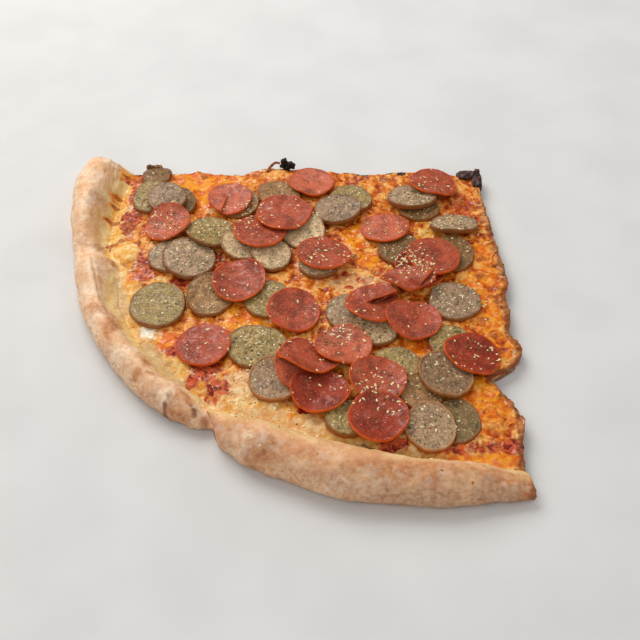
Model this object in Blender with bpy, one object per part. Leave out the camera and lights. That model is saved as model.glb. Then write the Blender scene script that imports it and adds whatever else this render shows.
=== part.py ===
"""A quarter of a large meat lovers pizza: baked dough with its rim, sauce, cheese, and every slice of meat on it.

The model stands on z = 0 with its footprint's middle at the origin. The quarter's point is at TIP, one cut runs
from there towards -X and the other towards -Y, and the rim joins their far ends. Places on the pizza are told
from the point: how far left of it and how far down (towards -Y). Slices of meat are laid one by one on what is
already there, so each rests on its neighbours as a real one does.
"""

import math

import bmesh
import bpy
import numpy as np

MM = 0.001

# Driving dimensions, in metres.
TIP = np.array((0.135, 0.1285))
DOUGH_THICKNESS = 4.2 * MM
SAUCE_THICKNESS = 0.7 * MM
CHEESE_THICKNESS = 1.8 * MM
GAP = 0.3 * MM
CELL = 1.0 * MM

# The rim, by the angle from the first cut in degrees: outer radius from the point, width, height, and how far out
# the cheese reaches, all in millimetres. The rim is pinched at 17.5 degrees and torn through at TEAR_ANGLE.
TEAR_ANGLE = 52.3
RIM = np.array(
    (
        (0.0, 275, 38, 20, 235),
        (3.0, 277, 35, 23, 238),
        (8.0, 278, 30, 24, 244),
        (12.0, 278, 25, 22, 248),
        (15.5, 279, 23, 17, 252),
        (17.5, 279, 22, 13, 254),
        (20.0, 280, 27, 18, 249),
        (25.0, 283, 24, 17, 246),
        (28.0, 285, 22, 17, 254),
        (31.0, 286, 22, 17, 261),
        (35.0, 287, 22, 18, 261),
        (40.0, 287, 23, 19, 261),
        (44.0, 286, 22, 18, 260),
        (48.5, 282, 20, 16, 263),
        (50.5, 279, 16, 13, 261),
        (TEAR_ANGLE, 274, 11, 7, 258),
        (53.8, 279, 14, 13, 255),
        (56.0, 281, 21, 18, 253),
        (59.0, 282, 28, 21, 250),
        (63.0, 281, 32, 23, 246),
        (68.0, 279, 33, 24, 243),
        (74.0, 274, 32, 23, 239),
        (79.0, 270, 30, 21, 237),
        (84.0, 264, 26, 17, 236),
        (88.0, 261, 20, 12, 238),
        (90.0, 260, 18, 9, 239),
    ),
    float,
)
# The tear slants: at the rim's foot it is this many degrees nearer the first cut than at the outside, and the
# slant fades away within TEAR_SPREAD degrees on either side.
TEAR_SLANT = 4.8
TEAR_SPREAD = 12.0
PINCH_ANGLE = 17.5

# The cheese stops just short of the rim's foot, and its edge wanders: waves in a full turn, phase and height.
CHEESE_CLEARS_RIM = 1.2 * MM
CHEESE_EDGE_WAVES = ((23, 0.0, 0.7 * MM), (41, 1.0, 0.5 * MM))
CHEESE_LUMPS = 0.25 * MM
SAUCE_REACH = 0.995

# Section across the rim: share of its width, counted from the foot, and share of its height.
RIM_SECTION = np.array(
    (
        (0.00, 0.00),
        (0.10, 0.20),
        (0.20, 0.52),
        (0.33, 0.83),
        (0.50, 1.00),
        (0.68, 0.95),
        (0.84, 0.76),
        (0.95, 0.52),
        (1.00, 0.30),
    )
)

# The cuts, by the distance from the point: how far the edge stands out from a straight cut, in millimetres.
FIRST_CUT = np.array(
    (
        (0, 0), (14, -1), (30, 2), (50, 3), (68, 1), (78, 0), (96, 3), (118, 5), (136, 7), (150, 6),
        (166, 0), (182, 1), (196, 4), (210, 0), (226, 1), (243, 3), (258, 4), (277, 2),
    ),
    float,
)  # fmt: skip
SECOND_CUT = np.array(
    (
        (0, 1), (14, -1), (32, 0), (52, 2), (72, 3), (92, 5), (106, 6), (116, 3), (132, 4), (150, 2),
        (158, 7), (168, 4), (175, -3), (181, -14), (188, -12), (199, -5), (212, 1), (222, -1),
        (238, -3), (248, -2), (256, 0), (263, 0),
    ),
    float,
)  # fmt: skip
CUT_FADES_OVER = 26 * MM

# Meat, in the order it is laid. Kind, then in millimetres: left of the point, down from it, size across, size
# down and thickness; then in millimetres how far its edge cups up, how far its near side is tipped up, and how high
# its edge ruffles; then how many ruffles it has, and towards which side in degrees one of them points.
SAUSAGE, PEPPERONI = "sausage", "pepperoni"
SLICES = (
    (SAUSAGE, 223, 3, 20, 22, 2.8, 0, 0, 0, 0, 0),
    (SAUSAGE, 224, 28, 24, 31, 2.8, 0, 0, 0, 0, 0),
    (SAUSAGE, 205, 32, 24, 28, 2.8, 0, 0, 0, 0, 0),
    (SAUSAGE, 212, 34, 26, 26, 2.8, 0, 0, 0, 0, 0),
    (SAUSAGE, 206, 84, 26, 30, 2.8, 0, 0, 0, 0, 0),
    (SAUSAGE, 193, 88, 33, 35, 3.0, 0, 0, 0, 0, 0),
    (SAUSAGE, 181, 64, 32, 31, 2.8, 0, 0, 0, 0, 0),
    (SAUSAGE, 158, 76, 32, 26, 2.8, 0, 0, 0, 0, 0),
    (SAUSAGE, 165, 32, 28, 31, 3.0, 0, 0, 0, 0, 0),
    (SAUSAGE, 138, 25, 29, 29, 2.8, 0, 0, 0, 0, 0),
    (SAUSAGE, 90, 28, 30, 27, 2.8, 0, 0, 0, 0, 0),
    (SAUSAGE, 99, 42, 32, 26, 3.5, 0.4, 1.0, 0, 0, 0),
    (SAUSAGE, 121, 62, 28, 31, 2.8, 0, 0, 0, 0, 0),
    (SAUSAGE, 141, 84, 26, 28, 2.8, 0, 0, 0, 0, 0),
    (SAUSAGE, 111, 91, 26, 25, 3.5, 0, 0, 0, 0, 0),
    (SAUSAGE, 44, 39, 27, 22, 2.8, 0, 0, 0, 0, 0),
    (SAUSAGE, 49, 30, 32, 26, 4.0, 0.4, 0.5, 0, 0, 0),
    (SAUSAGE, 26, 81, 28, 32, 2.8, 0, 0, 0, 0, 0),
    (SAUSAGE, 23, 56, 33, 19, 3.8, 0.3, 0.5, 0, 0, 0),
    (SAUSAGE, 59, 78, 28, 28, 2.8, 0, 0, 0, 0, 0),
    (SAUSAGE, 29, 124, 32, 32, 3.0, 0.3, 0, 0, 0, 0),
    (SAUSAGE, 208, 127, 35, 37, 3.2, 0, 0, 0, 0, 0),
    (SAUSAGE, 177, 119, 29, 35, 2.8, 0.6, 0, 0, 0, 0),
    (SAUSAGE, 142, 122, 28, 32, 2.8, 0, 0, 0, 0, 0),
    (SAUSAGE, 147, 160, 37, 33, 2.8, 0, 0, 0, 0, 0),
    (SAUSAGE, 136, 186, 30, 29, 3.0, 0.8, 0, 0, 0, 0),
    (SAUSAGE, 93, 133, 28, 31, 2.8, 0, 0, 0, 0, 0),
    (SAUSAGE, 78, 147, 28, 26, 2.8, 0, 0, 0, 0, 0),
    (SAUSAGE, 67, 174, 29, 27, 2.8, 0, 0, 0, 0, 0),
    (SAUSAGE, 34, 157, 27, 26, 2.8, 0, 0, 0, 0, 0),
    (SAUSAGE, 54, 195, 25, 25, 2.8, 0, 0, 0, 0, 0),
    (SAUSAGE, 40, 184, 31, 33, 3.0, 1.2, 0, 0, 0, 0),
    (SAUSAGE, 51, 219, 29, 30, 3.0, 0.8, 0, 0, 0, 0),
    (SAUSAGE, 94, 213, 28, 23, 4.5, 0, 0, 0, 0, 0),
    (PEPPERONI, 209, 58, 30, 31, 1.6, 1.0, 0, 0, 0, 0),
    (PEPPERONI, 171, 31, 30, 33, 1.6, 0.5, 0, 1.5, 2, 0),
    (PEPPERONI, 149, 65, 35, 39, 1.6, 0.4, 0, 0, 0, 0),
    (PEPPERONI, 134, 48, 37, 39, 1.6, 0.6, 0, 0, 0, 0),
    (PEPPERONI, 116, 11, 31, 33, 1.6, 0.4, 0, 0.8, 3, 0),
    (PEPPERONI, 108, 86, 35, 33, 1.8, 1.2, 2.0, 0, 0, 0),
    (PEPPERONI, 34, 15, 33, 33, 1.8, 0.8, -1.0, 0, 0, 0),
    (PEPPERONI, 68, 58, 32, 31, 1.6, 0.8, 0, 0, 0, 0),
    (PEPPERONI, 48, 96, 32, 32, 1.6, 0.4, 0, 0, 0, 0),
    (PEPPERONI, 39, 89, 34, 32, 1.8, 0.8, 0, 0, 0, 0),
    (PEPPERONI, 79, 131, 34, 35, 1.6, 0.6, 0, 3.5, 2, 50),
    (PEPPERONI, 55, 142, 33, 31, 1.6, 1.4, 0, 0, 0, 0),
    (PEPPERONI, 57, 110, 34, 20, 1.6, -1.0, 0, 2.5, 3, -20),
    (PEPPERONI, 126, 133, 33, 34, 1.6, 1.6, 0, 0, 0, 0),
    (PEPPERONI, 160, 109, 33, 36, 1.6, 2.0, 0, 0, 0, 0),
    (PEPPERONI, 178, 159, 32, 33, 1.6, 0.8, 0, 0, 0, 0),
    (PEPPERONI, 122, 178, 28, 34, 1.6, 0.6, 0, 0, 0, 0),
    (PEPPERONI, 110, 196, 34, 30, 1.8, 1.2, 0, 3.5, 2, 0),
    (PEPPERONI, 116, 173, 36, 29, 1.6, 0, 0, 3.5, 3, -125),
    (PEPPERONI, 97, 163, 33, 32, 1.6, 0.6, 0, 0, 0, 0),
    (PEPPERONI, 78, 188, 33, 32, 1.6, 0.6, 0, 0, 0, 0),
    (PEPPERONI, 79, 214, 34, 33, 1.6, 0.6, 2.0, 0, 0, 0),
    (PEPPERONI, 23, 168, 33, 33, 1.6, 0.8, 0, 0, 0, 0),
)
# How far a slice sags on what is under it: 0 is a stiff board, 1 lies like cloth.
FLEX = {SAUSAGE: 0.6, PEPPERONI: 0.7}
DRAPE_CELLS = 6
SLICE_SIDES = 14
INNER_RING = 0.55

# The raster that the slices are laid on, as cell middles.
SPAN = 150 * MM
AXIS = np.arange(-SPAN, SPAN + CELL / 2, CELL)


# ---- small tools ----


def clear_scene():
    for old in list(bpy.data.objects):
        bpy.data.objects.remove(old, do_unlink=True)


def new_collection(name):
    made = bpy.data.collections.new(name)
    bpy.context.scene.collection.children.link(made)
    return made


def new_material(name, colour, roughness):
    made = bpy.data.materials.new(name)
    made.use_nodes = True
    made.diffuse_color = (*colour, 1.0)
    shader = made.node_tree.nodes["Principled BSDF"]
    shader.inputs["Base Color"].default_value = (*colour, 1.0)
    shader.inputs["Roughness"].default_value = roughness
    shader.inputs["Metallic"].default_value = 0.0
    return made


def smooth_table(table, column, at):
    """The table's column read at any place, on a smooth curve through its rows."""
    x, y = table[:, 0], table[:, column]
    slope = np.gradient(y, x)
    at = np.clip(at, x[0], x[-1])
    row = np.clip(np.searchsorted(x, at, side="right") - 1, 0, len(x) - 2)
    span = x[row + 1] - x[row]
    t = (at - x[row]) / span
    return (
        (1 + 2 * t) * (1 - t) ** 2 * y[row]
        + t * (1 - t) ** 2 * span * slope[row]
        + t * t * (3 - 2 * t) * y[row + 1]
        + t * t * (t - 1) * span * slope[row + 1]
    )


def spread_angles(share):
    """Angles from 0 to 90 degrees at even shares, with more of them at the pinch and the tear."""
    fine = np.linspace(0, 90, 901)
    crowding = 1 + 1.5 * np.exp(-(((fine - TEAR_ANGLE) / 4) ** 2)) + 0.6 * np.exp(-(((fine - PINCH_ANGLE) / 4) ** 2))
    grown = np.concatenate(((0.0,), np.cumsum((crowding[1:] + crowding[:-1]) / 2)))
    return np.interp(share, grown / grown[-1], fine)


def on_the_pizza(angle, radius):
    """World x and y of a place given by its angle from the first cut in degrees and its distance from the point.
    Near a cut the place is moved with the cut's own ragged line."""
    turn = np.radians(angle)
    left, down = radius * np.cos(turn), radius * np.sin(turn)
    first = smooth_table(FIRST_CUT, 1, radius / MM) * MM
    second = smooth_table(SECOND_CUT, 1, radius / MM) * MM
    moved_up = first * np.clip(1 - down / CUT_FADES_OVER, 0, 1)
    moved_right = second * np.clip(1 - left / CUT_FADES_OVER, 0, 1)
    return TIP[0] - left + moved_right, TIP[1] - down + moved_up


def finish_object(name, mesh_under_work, material, collection):
    """Closes the work on a bmesh: one tidy, outward-facing, smooth-shaded object."""
    bmesh.ops.remove_doubles(mesh_under_work, verts=mesh_under_work.verts, dist=0.02 * MM)
    bmesh.ops.recalc_face_normals(mesh_under_work, faces=mesh_under_work.faces)
    bmesh.ops.triangulate(mesh_under_work, faces=mesh_under_work.faces)
    mesh = bpy.data.meshes.new(name)
    mesh_under_work.to_mesh(mesh)
    mesh_under_work.free()
    mesh.materials.append(material)
    mesh.shade_smooth()
    mesh.set_sharp_from_angle(angle=math.radians(50))
    made = bpy.data.objects.new(name, mesh)
    collection.objects.link(made)
    return made


# ---- dough, sauce and cheese ----


def layer(name, across, along, place_top, place_bottom, material, collection):
    """A closed layer. A grid of across by along cells becomes its top, and the same grid extruded its bottom.
    Each place function takes arrays of the two shares (0 to 1 across the quarter, 0 to 1 out from the point)."""
    work = bmesh.new()
    bmesh.ops.create_grid(work, x_segments=across, y_segments=along, size=0.5)
    grown = bmesh.ops.extrude_face_region(work, geom=work.faces[:])
    bottom = [v for v in grown["geom"] if isinstance(v, bmesh.types.BMVert)]
    is_bottom = set(bottom)
    top = [v for v in work.verts if v not in is_bottom]
    for vertices, place in ((top, place_top), (bottom, place_bottom)):
        shares = np.array([(v.co.x + 0.5, v.co.y + 0.5) for v in vertices])
        for vertex, spot in zip(vertices, np.column_stack(place(shares[:, 0], shares[:, 1]))):
            vertex.co = spot
    return finish_object(name, work, material, collection)


DOUGH_COLUMNS = 40
SPREAD_COLUMNS = 16
FLAT_CELLS = 24
RIM_CELLS = len(RIM_SECTION) - 1
UNDERSIDE_WIDTH = 0.80
SEAM_HEIGHT = 0.12
SEAM_INSET = 0.03


def dough_spot(share_across, share_out, is_top):
    """A place on the dough. The first cells along are the flat part and the rest go over the rim's section."""
    angle = spread_angles(share_across)
    outer, width, height = (smooth_table(RIM, column, angle) * MM for column in (1, 2, 3))
    step = share_out * (FLAT_CELLS + RIM_CELLS)
    flat = np.clip(step / FLAT_CELLS, 0, 1)
    rim_step = np.clip(step - FLAT_CELLS, 0, RIM_CELLS)
    rim_at = np.interp(rim_step, np.arange(RIM_CELLS + 1), RIM_SECTION[:, 0])
    rim_up = np.interp(rim_step, np.arange(RIM_CELLS + 1), RIM_SECTION[:, 1])
    foot = outer - width
    if is_top:
        radius = foot * flat + width * rim_at
        z = DOUGH_THICKNESS + (height - DOUGH_THICKNESS) * rim_up
    else:
        last = rim_step >= RIM_CELLS - 1e-6
        radius = foot * flat + width * np.where(last, 1 - SEAM_INSET, rim_at * UNDERSIDE_WIDTH)
        z = np.where(last, height * SEAM_HEIGHT, 0)
    inwards = np.clip((outer - radius) / width, 0, 1) * flat**3
    near_tear = np.exp(-(((angle - TEAR_ANGLE) / TEAR_SPREAD) ** 2))
    x, y = on_the_pizza(angle - TEAR_SLANT * inwards * near_tear, radius)
    return x, y, z


def cheese_reach(angle):
    """How far the cheese runs out from the point at an angle, with its own unevenness. It stops at the rim."""
    ragged = sum(height * np.sin(np.radians(angle) * count + phase) for count, phase, height in CHEESE_EDGE_WAVES)
    foot = (smooth_table(RIM, 1, angle) - smooth_table(RIM, 2, angle)) * MM
    slid = angle + TEAR_SLANT * np.exp(-(((angle + TEAR_SLANT - TEAR_ANGLE) / TEAR_SPREAD) ** 2))
    slid_foot = (smooth_table(RIM, 1, slid) - smooth_table(RIM, 2, slid)) * MM
    reach = smooth_table(RIM, 4, angle) * MM + ragged
    return np.minimum(reach, np.minimum(foot, slid_foot) - CHEESE_CLEARS_RIM)


def flat_spot(share_across, share_out, reach_share, z, lumps):
    """A place on a flat layer out to a share of the cheese's reach, at height z with soft lumps."""
    angle = spread_angles(share_across)
    x, y = on_the_pizza(angle, cheese_reach(angle) * reach_share * share_out)
    wave = np.sin(x / (9 * MM) + 1) * np.sin(y / (11 * MM)) + 0.6 * np.sin(x / (5 * MM) - y / (6 * MM))
    return x, y, z + lumps * wave


# ---- slices of meat ----


def shifted(field, across, down, fill):
    """The raster moved by whole cells, with fill coming in at its sides."""
    out = np.full_like(field, fill)
    rows, columns = field.shape
    out[max(down, 0) : rows + min(down, 0), max(across, 0) : columns + min(across, 0)] = field[
        max(-down, 0) : rows + min(-down, 0), max(-across, 0) : columns + min(-across, 0)
    ]
    return out


def disc_steps(cells):
    reach = range(-cells, cells + 1)
    return [(i, j) for i in reach for j in reach if i * i + j * j <= cells * cells]


def grown_field(field, cells):
    """Each cell takes the highest value within that many cells."""
    out = field.copy()
    for across, down in disc_steps(cells):
        np.maximum(out, shifted(field, across, down, -np.inf), out=out)
    return out


def softened_field(field, cells):
    steps = disc_steps(cells)
    return sum(shifted(field, across, down, 0.0) for across, down in steps) / len(steps)


def rasterise(points, triangles, highest):
    """The highest, or lowest, surface of a mesh over each cell, and -inf, or inf, where there is none."""
    worst = -np.inf if highest else np.inf
    better = np.maximum if highest else np.minimum
    out = np.full((len(AXIS), len(AXIS)), worst)
    for corners in points[triangles]:
        low = np.searchsorted(AXIS, corners[:, :2].min(0))
        high = np.searchsorted(AXIS, corners[:, :2].max(0), side="right")
        x, y = np.meshgrid(AXIS[low[0] : high[0]], AXIS[low[1] : high[1]])
        (ax, ay, az), (bx, by, bz), (cx, cy, cz) = corners
        area = (bx - ax) * (cy - ay) - (cx - ax) * (by - ay)
        if not x.size or abs(area) < 1e-12:
            continue
        second = ((x - ax) * (cy - ay) - (cx - ax) * (y - ay)) / area
        third = ((bx - ax) * (y - ay) - (x - ax) * (by - ay)) / area
        inside = (second >= -1e-6) & (third >= -1e-6) & (second + third <= 1 + 1e-6)
        z = np.where(inside, az + second * (bz - az) + third * (cz - az), worst)
        window = out[low[1] : high[1], low[0] : high[0]]
        better(window, z, out=window)
    return out


def mesh_arrays(mesh):
    points = np.array([v.co for v in mesh.vertices])
    mesh.calc_loop_triangles()
    return points, np.array([t.vertices for t in mesh.loop_triangles])


def resting_plane(points, middle):
    """The plane that a stiff slice lies on: it touches three of the points, passes under none, and the slice's
    middle is inside their triangle. Returns height at the middle and the two slopes."""
    local = points[:, :2] - middle
    at = np.arctan2(local[:, 1], local[:, 0])
    far = np.hypot(local[:, 0], local[:, 1])
    legs = []
    for start in (0, 1, 2):
        aim = -math.pi + 2 * math.pi * start / 3
        near = np.abs((at - aim + math.pi) % (2 * math.pi) - math.pi) < 0.5
        legs.append(int(np.argmax(np.where(near, far, -1))))
    for _ in range(60):
        corners = np.column_stack((np.ones(3), local[legs]))
        plane = np.linalg.solve(corners, points[legs, 2])
        above = points[:, 2] - (plane[0] + local @ plane[1:])
        highest = int(np.argmax(above))
        if above[highest] < 1e-6:
            break
        for swap in range(3):
            trial = legs[:swap] + [highest] + legs[swap + 1 :]
            corners = np.column_stack((np.ones(3), local[trial]))
            if abs(np.linalg.det(corners)) < 1e-12:
                continue
            shares = np.linalg.solve(corners.T, np.array((1.0, 0, 0)))
            if (shares >= -1e-9).all():
                legs = trial
                break
        else:
            break
    return plane


def outline_factor(turn, seed):
    """How far from a true ellipse a slice's edge is, as a share, different for each slice."""
    return 1 + 0.022 * np.sin(2 * turn + seed * 1.7) + 0.016 * np.sin(3 * turn + seed * 2.9)


def slice_mesh(across, down, seed):
    """A flat disc of rings on the unit outline, as a bmesh: its top face rings, then extruded for its underside."""
    work = bmesh.new()
    bmesh.ops.create_circle(work, cap_ends=True, cap_tris=True, segments=SLICE_SIDES, radius=1.0)
    spokes = [e for e in work.edges if not e.is_boundary]
    bmesh.ops.bisect_edges(work, edges=spokes, cuts=1)
    bmesh.ops.connect_verts(work, verts=[v for v in work.verts if 0.4 < v.co.length < 0.6])
    for vertex in work.verts:
        turn = math.atan2(vertex.co.y, vertex.co.x)
        reach = INNER_RING / vertex.co.length if 0 < vertex.co.length < 0.7 else 1.0
        scale = reach * outline_factor(turn, seed) / 2
        vertex.co = (vertex.co.x * scale * across, vertex.co.y * scale * down, 0)
    return work


def lay_slice(name, kind, numbers, seed, pile, material, collection):
    """Lays one slice on the pile, and returns the pile with it on."""
    spot_left, spot_down, across, down, thickness, cup, tip, ruffle = (n * MM for n in numbers[:8])
    ruffles, facing = numbers[8], math.radians(numbers[9])
    middle = TIP - np.array((spot_left, spot_down))
    x, y = np.meshgrid(AXIS, AXIS)
    turn = np.arctan2((y - middle[1]) / down, (x - middle[0]) / across)
    out = np.hypot((x - middle[0]) / (across / 2), (y - middle[1]) / (down / 2)) / outline_factor(turn, seed)
    under = out < 1 + 2 * CELL / min(across, down)

    padded = np.where(under, grown_field(pile, 1), -np.inf)
    plane = resting_plane(np.column_stack((x[under], y[under], padded[under])), middle)
    board = plane[0] + (x - middle[0]) * plane[1] + (y - middle[1]) * plane[2]
    cloth = softened_field(grown_field(padded, DRAPE_CELLS), DRAPE_CELLS)
    rest = np.where(under, board + FLEX[kind] * (cloth - board), board)

    work = slice_mesh(across, down, seed)
    grown = bmesh.ops.extrude_face_region(work, geom=work.faces[:])
    upper = {v for v in grown["geom"] if isinstance(v, bmesh.types.BMVert)}
    for vertex in work.verts:
        px, py = vertex.co.x + middle[0], vertex.co.y + middle[1]
        column = int(round((px - AXIS[0]) / CELL))
        row = int(round((py - AXIS[0]) / CELL))
        sideways, near = vertex.co.x / (across / 2), -vertex.co.y / (down / 2)
        at_edge = math.hypot(sideways, near)
        wave = 0.5 + 0.5 * math.cos(ruffles * (math.atan2(vertex.co.y, vertex.co.x) - facing))
        lift = cup * at_edge**2 + tip * near + ruffle * at_edge**3 * wave
        vertex.co = (px, py, rest[row, column] + lift + (thickness if vertex in upper else 0))
    made = finish_object(name, work, material, collection)

    points, triangles = mesh_arrays(made.data)
    lowest = rasterise(points, triangles, False)
    touched = np.isfinite(lowest)
    rise = np.max(padded[touched & under] - lowest[touched & under]) + GAP
    for vertex in made.data.vertices:
        vertex.co.z += rise
    points[:, 2] += rise
    return np.maximum(pile, rasterise(points, triangles, True))


# ---- the pizza ----


def build():
    clear_scene()
    pizza = new_collection("meat_lovers_pizza_quarter")
    baked = new_material("baked_dough", (0.78, 0.55, 0.33), 0.75)
    red = new_material("tomato_sauce", (0.45, 0.05, 0.02), 0.45)
    melted = new_material("melted_cheese", (0.85, 0.42, 0.10), 0.40)
    meats = {
        SAUSAGE: new_material("sausage_meat", (0.38, 0.30, 0.20), 0.55),
        PEPPERONI: new_material("pepperoni_meat", (0.50, 0.07, 0.04), 0.42),
    }

    sauce_bottom = DOUGH_THICKNESS + GAP
    sauce_top = sauce_bottom + SAUCE_THICKNESS
    cheese_bottom = sauce_top + GAP
    cheese_top = cheese_bottom + CHEESE_THICKNESS
    layers = (
        layer("dough", DOUGH_COLUMNS, FLAT_CELLS + RIM_CELLS, lambda u, v: dough_spot(u, v, True),
              lambda u, v: dough_spot(u, v, False), baked, pizza),
        layer("sauce", SPREAD_COLUMNS, FLAT_CELLS, lambda u, v: flat_spot(u, v, SAUCE_REACH, sauce_top, 0),
              lambda u, v: flat_spot(u, v, SAUCE_REACH, sauce_bottom, 0), red, pizza),
        layer("cheese", SPREAD_COLUMNS, FLAT_CELLS, lambda u, v: flat_spot(u, v, 1, cheese_top, CHEESE_LUMPS),
              lambda u, v: flat_spot(u, v, 1, cheese_bottom, 0), melted, pizza),
    )  # fmt: skip

    pile = np.zeros((len(AXIS), len(AXIS)))
    for part in layers:
        pile = np.maximum(pile, rasterise(*mesh_arrays(part.data), True))

    counts = dict.fromkeys(meats, 0)
    for seed, (kind, *numbers) in enumerate(SLICES):
        counts[kind] += 1
        name = f"{kind}_{counts[kind]:02d}"
        pile = lay_slice(name, kind, numbers, seed, pile, meats[kind], pizza)


build()
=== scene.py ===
# %% [markdown]
# # A quarter of a meat lovers pizza
#
# The real thing is a big hand-stretched pizza cut in four: dough with a puffed rim, tomato sauce, browned
# cheese, 34 slices of cooked sausage, 23 slices of pepperoni, and a dusting of grated hard cheese and dried
# herbs. The measured model holds each piece as a plain solid. Here every one of them gets its real surface.

# %% Load the measured model
import math
import random

import bmesh
import bpy
import numpy as np
from mathutils import Matrix, Vector, noise
from mathutils.bvhtree import BVHTree


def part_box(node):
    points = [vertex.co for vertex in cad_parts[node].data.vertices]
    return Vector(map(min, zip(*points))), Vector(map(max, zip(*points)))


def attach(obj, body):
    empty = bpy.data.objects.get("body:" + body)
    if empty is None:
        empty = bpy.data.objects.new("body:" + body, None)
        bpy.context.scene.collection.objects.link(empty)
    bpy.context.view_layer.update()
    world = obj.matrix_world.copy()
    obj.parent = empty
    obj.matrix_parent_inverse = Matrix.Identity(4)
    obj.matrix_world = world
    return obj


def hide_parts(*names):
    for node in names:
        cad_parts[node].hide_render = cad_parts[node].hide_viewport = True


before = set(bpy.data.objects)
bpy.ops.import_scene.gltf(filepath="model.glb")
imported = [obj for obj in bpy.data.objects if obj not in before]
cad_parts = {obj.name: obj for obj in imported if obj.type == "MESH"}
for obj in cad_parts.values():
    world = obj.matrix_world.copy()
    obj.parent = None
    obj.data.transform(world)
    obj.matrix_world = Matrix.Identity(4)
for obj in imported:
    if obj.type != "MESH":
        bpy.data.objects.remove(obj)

MM = 0.001
UP, DOWN = Vector((0, 0, 1)), Vector((0, 0, -1))
# Heights in metres from which rays start, well above and just below everything.
ABOVE_ALL = 0.1
BELOW_ALL = -0.01
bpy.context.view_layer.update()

# %% [markdown]
# ## Places on the pizza
#
# The quarter's point is at TIP. One cut runs from it towards -X, the other towards -Y. A place is told by how
# far it is left of the point and down from it, in millimetres, or by its angle from the first cut and its
# distance. The driving numbers of the rim and the two cuts are the measured model's own.

# %% The quarter's outline
TIP = np.array((0.135, 0.1285))
DOUGH_THICKNESS = 4.2 * MM
TEAR_ANGLE = 52.3
TEAR_SLANT = 4.8
TEAR_SPREAD = 12.0
PINCH_ANGLE = 17.5
CUT_FADES_OVER = 26 * MM
# Angle, then in millimetres: outer radius, width and height of the rim.
RIM = np.array(
    (
        (0, 275, 38, 20), (3, 277, 35, 23), (8, 278, 30, 24), (12, 278, 25, 22), (15.5, 279, 23, 17),
        (17.5, 279, 22, 13), (20, 280, 27, 18), (25, 283, 24, 17), (28, 285, 22, 17), (31, 286, 22, 17),
        (35, 287, 22, 18), (40, 287, 23, 19), (44, 286, 22, 18), (48.5, 282, 20, 16), (50.5, 279, 16, 13),
        (TEAR_ANGLE, 274, 11, 7), (53.8, 279, 14, 13), (56, 281, 21, 18), (59, 282, 28, 21),
        (63, 281, 32, 23), (68, 279, 33, 24), (74, 274, 32, 23), (79, 270, 30, 21), (84, 264, 26, 17),
        (88, 261, 20, 12), (90, 260, 18, 9),
    ),
    float,
)  # fmt: skip
# Distance from the point and how far the cut stands out from a straight line there, in millimetres.
FIRST_CUT = np.array(
    (
        (0, 0), (14, -1), (30, 2), (50, 3), (68, 1), (78, 0), (96, 3), (118, 5), (136, 7), (150, 6),
        (166, 0), (182, 1), (196, 4), (210, 0), (226, 1), (243, 3), (258, 4), (277, 2),
    ),
    float,
)  # fmt: skip
SECOND_CUT = np.array(
    (
        (0, 1), (14, -1), (32, 0), (52, 2), (72, 3), (92, 5), (106, 6), (116, 3), (132, 4), (150, 2),
        (158, 7), (168, 4), (175, -3), (181, -14), (188, -12), (199, -5), (212, 1), (222, -1),
        (238, -3), (248, -2), (256, 0), (263, 0),
    ),
    float,
)  # fmt: skip


def smooth_curve(x, y, at):
    """A smooth curve through the points, read at any place."""
    slope = np.gradient(y, x)
    at = np.clip(at, x[0], x[-1])
    row = np.clip(np.searchsorted(x, at, side="right") - 1, 0, len(x) - 2)
    span = x[row + 1] - x[row]
    t = (at - x[row]) / span
    return (
        (1 + 2 * t) * (1 - t) ** 2 * y[row]
        + t * (1 - t) ** 2 * span * slope[row]
        + t * t * (3 - 2 * t) * y[row + 1]
        + t * t * (t - 1) * span * slope[row + 1]
    )


def rim_at(angle, column):
    return smooth_curve(RIM[:, 0], RIM[:, column], angle) * MM


def on_the_pizza(angle, radius):
    """World x and y of a place told by angle and distance. Near a cut it follows the cut's ragged line."""
    turn = np.radians(angle)
    left, down = radius * np.cos(turn), radius * np.sin(turn)
    first = smooth_curve(FIRST_CUT[:, 0], FIRST_CUT[:, 1], radius / MM) * MM
    second = smooth_curve(SECOND_CUT[:, 0], SECOND_CUT[:, 1], radius / MM) * MM
    moved_up = first * np.clip(1 - down / CUT_FADES_OVER, 0, 1)
    moved_right = second * np.clip(1 - left / CUT_FADES_OVER, 0, 1)
    return TIP[0] - left + moved_right, TIP[1] - down + moved_up


def left_and_down(places):
    """How far left of the point and down from it, in millimetres."""
    return (TIP[0] - places[:, 0]) / MM, (TIP[1] - places[:, 1]) / MM


# %% [markdown]
# ## Working on meshes
#
# Fine relief is quickest when all of a mesh's points are one array: read it, add lumps, write it back.
# Lumps come from Blender's own noise, which is the same on every run. Forms are built as bmeshes, and a few
# helpers here end that work.

# %% Arrays in and out of a mesh
def read_points(mesh, what="co"):
    values = np.empty(len(mesh.vertices) * 3)
    mesh.vertices.foreach_get(what, values)
    return values.reshape(-1, 3)


def write_points(mesh, places):
    mesh.vertices.foreach_set("co", np.ascontiguousarray(places).ravel())
    mesh.update()


def read_mask(mesh, name):
    values = np.empty(len(mesh.vertices))
    mesh.attributes[name].data.foreach_get("value", values)
    return values


def write_mask(mesh, name, values):
    if name not in mesh.attributes:
        mesh.attributes.new(name, "FLOAT", "POINT")
    mesh.attributes[name].data.foreach_set("value", np.clip(values, 0, 1))


# %% Noise and ovals
def lumps(places, size, seed, layers=1):
    """Smooth lumps of about this size in millimetres: a number from about -1 to 1 for each place."""
    total = np.zeros(len(places))
    for layer in range(layers):
        scaled = places * (2**layer / (size * MM)) + (seed * 7.13 + layer * 3.1, seed * 3.71, seed * 5.37)
        total += np.array([noise.noise(spot) for spot in scaled.tolist()]) / 1.7**layer
    return total * 1.4


def sideways(places, size, seed):
    """Lumps that push in x and in y."""
    return np.column_stack([lumps(places, size, seed + axis, 2) for axis in (0, 1)])


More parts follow.
